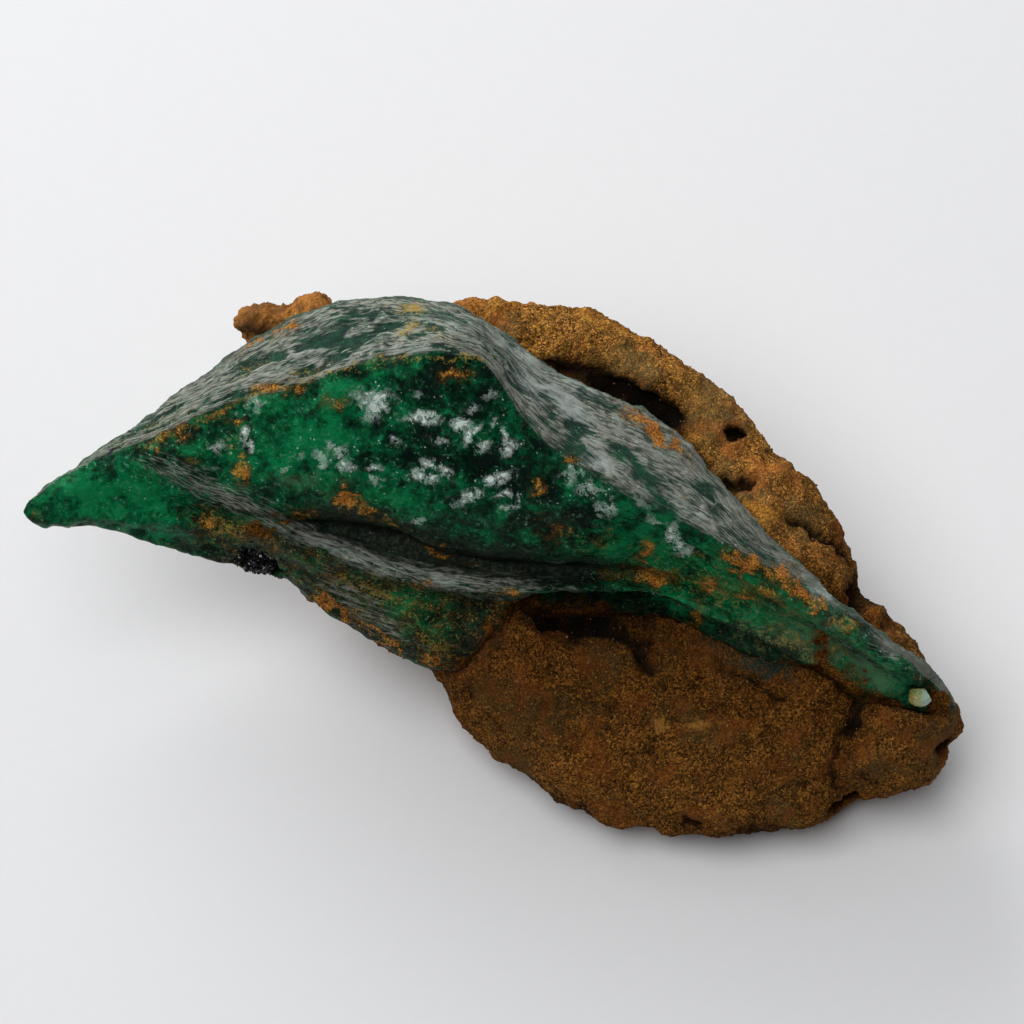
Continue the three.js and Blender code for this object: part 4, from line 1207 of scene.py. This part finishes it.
def shape_matrix(obj, emerald_tree):
    """A sandy, cracked surface that meets the emerald, and the masks of its marks, its painted
    light and its painted shade.
    """
    mesh = obj.data
    points = points_of(mesh)
    normals = normals_of(mesh)
    places = picture_places(points)
    marks = ragged(places, points, 6)
    facing = smooth_step(normals @ np.array(TO_EYE), -0.15, 0.2)
    resting = smooth_step(points[:, 2] / MM, 0.05, 1.2)
    gap, _ = distances(points, emerald_tree, 2.0 * MM)
    free = smooth_step(gap / MM, 0.2, 1.1)

    # All heights here are in millimetres
    lumps = rough(points, 5.2 * MM, 4)
    knots = rough(points, 1.7 * MM, 4, 0.6, 2.0)
    crumbs = rough(points, 0.62 * MM, 3, 0.6, 4.0)
    pits = cells(points, 2.3 * MM, 7.0)[:, 0]
    pitted = 1 - smooth_step(pits, 0.08, 0.30)
    pitted *= smooth_step(rough(points, 7 * MM, 2, 0.6, 8.0), -0.1, 0.3)
    height = 0.30 * lumps + 0.19 * knots + 0.11 * crumbs - 0.30 * pitted
    sunk = np.zeros(len(points))
    for line, half_width, depth in MATRIX_CRACKS:
        sunk = np.maximum(sunk, depth * line_strength(marks, line, half_width))
    height += facing * (spot_strength(marks, MATRIX_SWELLINGS) - sunk)
    height *= resting * free
    height -= spot_strength(places, EDGE_TRIMS) * free
    points = points + normals * (height * MM)[:, None]
    points[:, 2] = np.maximum(points[:, 2], 0)

    # The cut wall beside the emerald closes up to it, and the mud on it swells over the edge
    points = close_up(points, emerald_tree, 0.7 * MM, 0.42, 0.68, 0.06 * MM)
    mound = facing * line_strength(places, CONTACT_LINE, 24)
    mound *= 1.25 + 0.35 * knots
    points = points + np.outer(mound * MM, np.array(TO_EYE))
    move_points(mesh, points)

    raised = smooth_step(height, -0.25, 0.35)
    powder = spot_strength(ragged(places, points, 14), POWDER_SPOTS) * facing
    behind = smooth_step(rough(points, 9 * MM, 3, 0.6, 6.0), -0.1, 0.6)
    powder = np.maximum(powder, 0.75 * behind * (1 - facing))
    seen = smooth_step(normals @ np.array(TO_EYE), -0.3, 0.1)
    # Painted shade: the cracks, the listed hollows and the low parts are darkened
    deep = facing * smooth_step(sunk, 0.15, 0.45)
    deep = np.maximum(deep, seen * spot_strength(marks, MATRIX_HOLLOW_SHADE))
    deep = np.maximum(deep, 0.8 * (1 - smooth_step(height, -0.5, -0.15)))
    deep *= 1 - 0.8 * smooth_step(mound, 0.3, 0.9) * (sunk < 0.3)
    # Painted light: the rim under the daylight, the front base and the blunt end lighter, and the
    # hidden sides a little lighter
    rim = smooth_step(line_height(places, BACK_LINE) - places[:, 1], -12, 12)
    rim *= 1 - 0.75 * smooth_step(places[:, 0], *RIM_FADES)
    low = 0.22 * smooth_step(places[:, 1], *FRONT_BASE_ROWS) * (1 - rim)
    low += 0.16 * smooth_step(places[:, 0], *BLUNT_END_STARTS) * (1 - rim)
    store(mesh, "light", (rim + low) * facing + 0.35 * (1 - facing))
    store(mesh, "powder", powder * (0.55 + 0.8 * raised))
    store(mesh, "slate", spot_strength(ragged(places, points, 12), SLATE_SPOTS) * facing)
    store(mesh, "clay", spot_strength(marks, CLAY_SPOTS) * facing)
    store(mesh, "hollow", np.clip(0.9 * deep, 0, 1))
    shade_smooth(mesh)


def shape_nodule(obj, emerald_tree):
    """Lumps of clay that lean against the emerald, with darker spots and painted shade in their
    hollows.
    """
    mesh = obj.data
    points = points_of(mesh)
    normals = normals_of(mesh)
    places = picture_places(points)
    lumps = rough(points, 1.3 * MM, 4)
    crumbs = rough(points, 0.4 * MM, 3, 0.6, 4.0)
    height = 0.14 * lumps + 0.17 * crumbs + spot_sum(places, NODULE_SWELLINGS)
    points = points + normals * (height * MM)[:, None]
    move_points(mesh, close_up(points, emerald_tree, 1.9 * MM, 1.1, 1.85, 0.08 * MM))
    facing = smooth_step(normals @ np.array(TO_EYE), 0.0, 0.3)
    # Darker spots, and painted shade where the lumps sink
    dark = spot_strength(places, NODULE_HOLLOWS) * facing
    dark = np.maximum(dark, 0.6 * (1 - smooth_step(lumps, -0.5, -0.1)))
    store(mesh, "hollow", 0.8 * dark)
    shade_smooth(mesh)


def shape_knob(obj):
    """A small lump cut flat on many sides, stained on the left and clear on the right."""
    mesh = obj.data
    points = points_of(mesh)
    middle = points.mean(axis=0)
    points = middle + (points - middle) * np.array(KNOB_STRETCH)
    radius = np.linalg.norm(points - middle, axis=1).mean()
    picker = np.random.default_rng(3)
    for _ in range(KNOB_CUTS):
        way = picker.normal(0, 1, 3)
        way /= np.linalg.norm(way)
        beyond = (points - middle) @ way - picker.uniform(0.55, 0.85) * radius
        points = points - np.outer(np.maximum(beyond, 0), way)
    height = 0.06 * MM * rough(points, 0.4 * MM)
    points = points + normals_of(mesh) * height[:, None]
    move_points(mesh, points + np.array(KNOB_SHIFT) * MM)
    side = (points[:, 0] - middle[0]) / radius
    store(mesh, "stain", 0.8 * smooth_step(-side, 0.1, 0.9))
    store(mesh, "clear", smooth_step(side, -0.4, 0.7))
    shade_smooth(mesh)


def random_way(chance):
    return Vector((chance.gauss(0, 1), chance.gauss(0, 1), chance.gauss(0, 1)))


def add_grain(form, tone, chance, spot, size):
    """One broken grain that sits half sunk at a spot, which is a point and a normal."""
    made = bmesh.ops.create_icosphere(form, subdivisions=1, radius=size)["verts"]
    axis = random_way(chance)
    turn = Matrix.Rotation(chance.uniform(0, math.tau), 3, axis)
    squash = Matrix.Diagonal((1, chance.uniform(0.6, 1), chance.uniform(0.45, 0.9)))
    place = Vector(spot[0]) + Vector(spot[1]) * (size * chance.uniform(-0.7, 0.0))
    value = chance.random()
    for vert in made:
        vert.co = place + turn @ (squash @ (vert.co * chance.uniform(0.75, 1.25)))
        vert[tone] = value


def add_plate(form, tone, chance, middle, spot):
    """One six-sided plate, at the spot or, without one, anywhere in the cluster."""
    size = chance.uniform(*PLATE_RADIUS) * MM
    made = bmesh.ops.create_cone(
        form, cap_ends=True, segments=6, radius1=size, radius2=0.8 * size,
        depth=size * chance.uniform(0.35, 1.1),
    )["verts"]
    tilt = random_way(chance).normalized().to_track_quat("Z", "Y").to_matrix()
    turn = tilt @ Matrix.Rotation(chance.uniform(0, 1), 3, "Z")
    reach = CLUSTER_RADIUS * MM * chance.uniform(0.2, 1) ** 0.5
    anywhere = middle + random_way(chance).normalized() * reach
    place = anywhere if spot is None else Vector(spot[0])
    value = chance.random()
    for vert in made:
        vert.co = place + turn @ vert.co
        vert[tone] = value


def scatter(name, spots, sizes, seed, batch=60):
    """Small broken grains in one mesh, made a batch at a time."""
    chance = random.Random(seed)
    whole = bmesh.new()
    for start in range(0, len(spots), batch):
        form = bmesh.new()
        tone = form.verts.layers.float.new("tone")
        for spot, size in zip(spots[start:start + batch], sizes[start:start + batch]):
            add_grain(form, tone, chance, spot, size)
        part = bpy.data.meshes.new("batch")
        form.to_mesh(part)
        form.free()
        whole.from_mesh(part)
        bpy.data.meshes.remove(part)
    mesh = bpy.data.meshes.new(name)
    whole.to_mesh(mesh)
    whole.free()
    return link(bpy.data.objects.new(name, mesh))


def pick_spots(obj, weights, count, seed):
    """Points on a piece's surface, chosen by the weight of each vertex."""
    mesh = obj.data
    points = points_of(mesh)
    normals = normals_of(mesh)
    picker = np.random.default_rng(seed)
    weights = np.maximum(weights, 0)
    chosen = picker.choice(len(points), size=count, replace=True, p=weights / weights.sum())
    shifted = points[chosen] + picker.normal(0, 0.02 * MM, (count, 3))
    return list(zip(shifted, normals[chosen]))


def stored(mesh, name):
    values = np.empty(len(mesh.vertices), np.float32)
    mesh.attributes[name].data.foreach_get("value", values)
    return values.astype(float)


class STONE_OT_emerald(bpy.types.Operator):
    """Make the emerald with its scalloped face, rippled flank and stains"""

    bl_idname = "stone.emerald"
    bl_label = "Emerald"

    def execute(self, context):
        shape = context.scene.stone_shape
        obj = dense_copy("emerald", "emerald_body", shape.emerald_voxel, rounds=14)
        shape_emerald(obj, shape)
        finish_piece(obj, emerald_material(), "emerald")
        return {"FINISHED"}


class STONE_OT_matrix(bpy.types.Operator):
    """Make the matrix, closed up to the emerald"""

    bl_idname = "stone.matrix"
    bl_label = "Matrix"

    def execute(self, context):
        shape = context.scene.stone_shape
        obj = dense_copy("matrix", "matrix_body", shape.matrix_voxel, rounds=6)
        shape_matrix(obj, tree_of(bpy.data.objects["emerald_body"]))
        finish_piece(obj, matrix_material(), "matrix")
        return {"FINISHED"}


class STONE_OT_nodule(bpy.types.Operator):
    """Make the clay nodule on the emerald's back edge"""

    bl_idname = "stone.nodule"
    bl_label = "Clay nodule"

    def execute(self, context):
        obj = dense_copy("clay_nodule", "clay_lumps", NODULE_VOXEL, rounds=6)
        shape_nodule(obj, tree_of(bpy.data.objects["emerald_body"]))
        finish_piece(obj, clay_material(), "clay_nodule")
        return {"FINISHED"}


class STONE_OT_plates(bpy.types.Operator):
    """Make the cluster of black plates"""

    bl_idname = "stone.plates"
    bl_label = "Black plates"

    def execute(self, context):
        low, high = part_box("black_crystals")
        middle = (low + high) / 2
        stone = bpy.data.objects["emerald_body"]
        count = context.scene.stone_shape.plate_count
        away = np.linalg.norm(points_of(stone.data) - np.array(middle), axis=1) / MM
        weights = np.exp(-((away / CLUSTER_SPREAD) ** 2)) * (away < CLUSTER_REACH)
        spots = pick_spots(stone, weights, count // 2, seed=12)
        chance = random.Random(11)
        form = bmesh.new()
        tone = form.verts.layers.float.new("tone")
        for spot in spots + [None] * (count - len(spots)):
            add_plate(form, tone, chance, middle, spot)
        mesh = bpy.data.meshes.new("black_plates")
        form.to_mesh(mesh)
        form.free()
        obj = link(bpy.data.objects.new("black_plates", mesh))
        finish_piece(obj, black_material(), "black_crystals")
        return {"FINISHED"}


class STONE_OT_knob(bpy.types.Operator):
    """Make the pale green knob at the emerald's blunt end"""

    bl_idname = "stone.knob"
    bl_label = "Pale knob"

    def execute(self, context):
        obj = dense_copy("pale_knob", "pale_crystal", KNOB_VOXEL, rounds=4)
        shape_knob(obj)
        finish_piece(obj, knob_material(), "pale_knob")
        return {"FINISHED"}


class STONE_OT_grains(bpy.types.Operator):
    """Scatter sand grains on the matrix and iron powder on the emerald"""

    bl_idname = "stone.grains"
    bl_label = "Grains"

    def execute(self, context):
        shape = context.scene.stone_shape
        body = bpy.data.objects["matrix_body"]
        stone = bpy.data.objects["emerald_body"]
        picker = np.random.default_rng(5)
        above = smooth_step(points_of(body.data)[:, 2] / MM, 0.6, 1.6)
        weights = above * (0.3 + stored(body.data, "powder"))
        spots = pick_spots(body, weights, shape.grain_count, seed=21)
        sizes = picker.uniform(*SAND_RADIUS, shape.grain_count) * MM
        edge_count = shape.grain_count // 4
        spots += pick_spots(stone, stored(stone.data, "near"), edge_count, seed=23)
        sizes = np.concatenate((sizes, picker.uniform(*EDGE_SAND_RADIUS, edge_count) * MM))
        sand = scatter("sand_grains", spots, sizes, seed=31)
        finish_piece(sand, grain_material("Sand", *SAND_TONES), "matrix")

        weights = smooth_step(stored(stone.data, "stain"), 0.75, 1.2)
        spots = pick_spots(stone, weights, shape.powder_count, seed=22)
        sizes = picker.uniform(*POWDER_RADIUS, shape.powder_count) * MM
        powder = scatter("iron_powder", spots, sizes, seed=32)
        finish_piece(powder, grain_material("Iron powder", *POWDER_TONES), "emerald")
        return {"FINISHED"}


def add_camera(scene):
    """The eye, above and in front of the stone."""
    lens = bpy.data.cameras.new("Camera")
    lens.sensor_width = SENSOR_MM
    lens.lens = SENSOR_MM * EYE_DISTANCE / FRAME_WIDTH
    lens.clip_start = 0.01
    lens.clip_end = 20
    camera = link(bpy.data.objects.new("Camera", lens))
    turn = Matrix((Vector((1, 0, 0)), EYE_UP, TO_EYE)).transposed().to_4x4()
    camera.matrix_world = Matrix.Translation(EYE_TARGET + TO_EYE * EYE_DISTANCE) @ turn
    scene.camera = camera


def add_floor(white):
    """The pale table."""
    bpy.ops.mesh.primitive_plane_add(size=TABLE_SIZE)
    floor = bpy.context.object
    floor.name = "floor"
    material, board, shader, place = new_material("Pale table")
    cloud = board.noise(place, 900.0, 4.0)
    board.dress(shader, board.mix(cloud, white, shade(white, 0.97)), 0.85)
    floor.data.materials.append(material)


def add_room(scene):
    """Soft light from all round, which fades from behind the stone to behind the eye."""
    world = bpy.data.worlds.new("Room")
    world.use_nodes = True
    board = Board(world.node_tree)
    sky = world.node_tree.nodes["Background"]
    way = board.add("ShaderNodeTexCoord").outputs["Generated"]
    depth = board.add("ShaderNodeSeparateXYZ", {"Vector": way}).outputs["Y"]
    sky.inputs["Color"].default_value = (*SKY_COLOUR, 1)
    board.feed(sky.inputs["Strength"], board.span(depth, -0.55, 0.5, ROOM_DARK, ROOM_LIGHT))
    scene.world = world


def add_lamp(name, azimuth, height, distance, size, power):
    """A square lamp that points at the stone."""
    lamp = bpy.data.lights.new(name, "AREA")
    lamp.shape = "SQUARE"
    lamp.size = size
    lamp.energy = power
    holder = link(bpy.data.objects.new(name, lamp))
    turn = math.radians(azimuth)
    rise = math.radians(height)
    flat = math.cos(rise)
    way = Vector((math.cos(turn) * flat, math.sin(turn) * flat, math.sin(rise)))
    holder.location = EYE_TARGET + way * distance
    holder.rotation_euler = way.to_track_quat("Z", "Y").to_euler()


class STONE_OT_stage(bpy.types.Operator):
    """Set the camera, the pale table and the soft daylight"""

    bl_idname = "stone.stage"
    bl_label = "Table, light and camera"

    def execute(self, context):
        scene = context.scene
        add_camera(scene)
        add_floor(tuple(scene.stone_colours.floor_white))
        add_room(scene)
        for lamp in LAMPS:
            add_lamp(*lamp)
        scene.view_settings.view_transform = "Standard"
        return {"FINISHED"}


class STONE_PT_panel(bpy.types.Panel):
    """Everything that makes the stone"""

    bl_label = "Rough emerald"
    bl_idname = "STONE_PT_panel"
    bl_space_type = "VIEW_3D"
    bl_region_type = "UI"
    bl_category = "Emerald"

    def draw(self, context):
        for group in (context.scene.stone_shape, context.scene.stone_colours):
            for name in group.bl_rna.properties.keys():
                if name not in ("rna_type", "name"):
                    self.layout.prop(group, name)
        for operator in OPERATORS:
            self.layout.operator(operator.bl_idname)


OPERATORS = (
    STONE_OT_stage,
    STONE_OT_emerald,
    STONE_OT_matrix,
    STONE_OT_nodule,
    STONE_OT_plates,
    STONE_OT_knob,
    STONE_OT_grains,
)
CLASSES = (StoneShape, StoneColours, *OPERATORS, STONE_PT_panel)


def register():
    for cls in CLASSES:
        bpy.utils.register_class(cls)
    bpy.types.Scene.stone_shape = PointerProperty(type=StoneShape)
    bpy.types.Scene.stone_colours = PointerProperty(type=StoneColours)


def unregister():
    del bpy.types.Scene.stone_colours
    del bpy.types.Scene.stone_shape
    for cls in reversed(CLASSES):
        bpy.utils.unregister_class(cls)


def main():
    register()
    bpy.ops.stone.stage()
    bpy.ops.stone.emerald()
    bpy.ops.stone.matrix()
    bpy.ops.stone.nodule()
    bpy.ops.stone.plates()
    bpy.ops.stone.knob()
    bpy.ops.stone.grains()


if __name__ == "__main__":
    main()
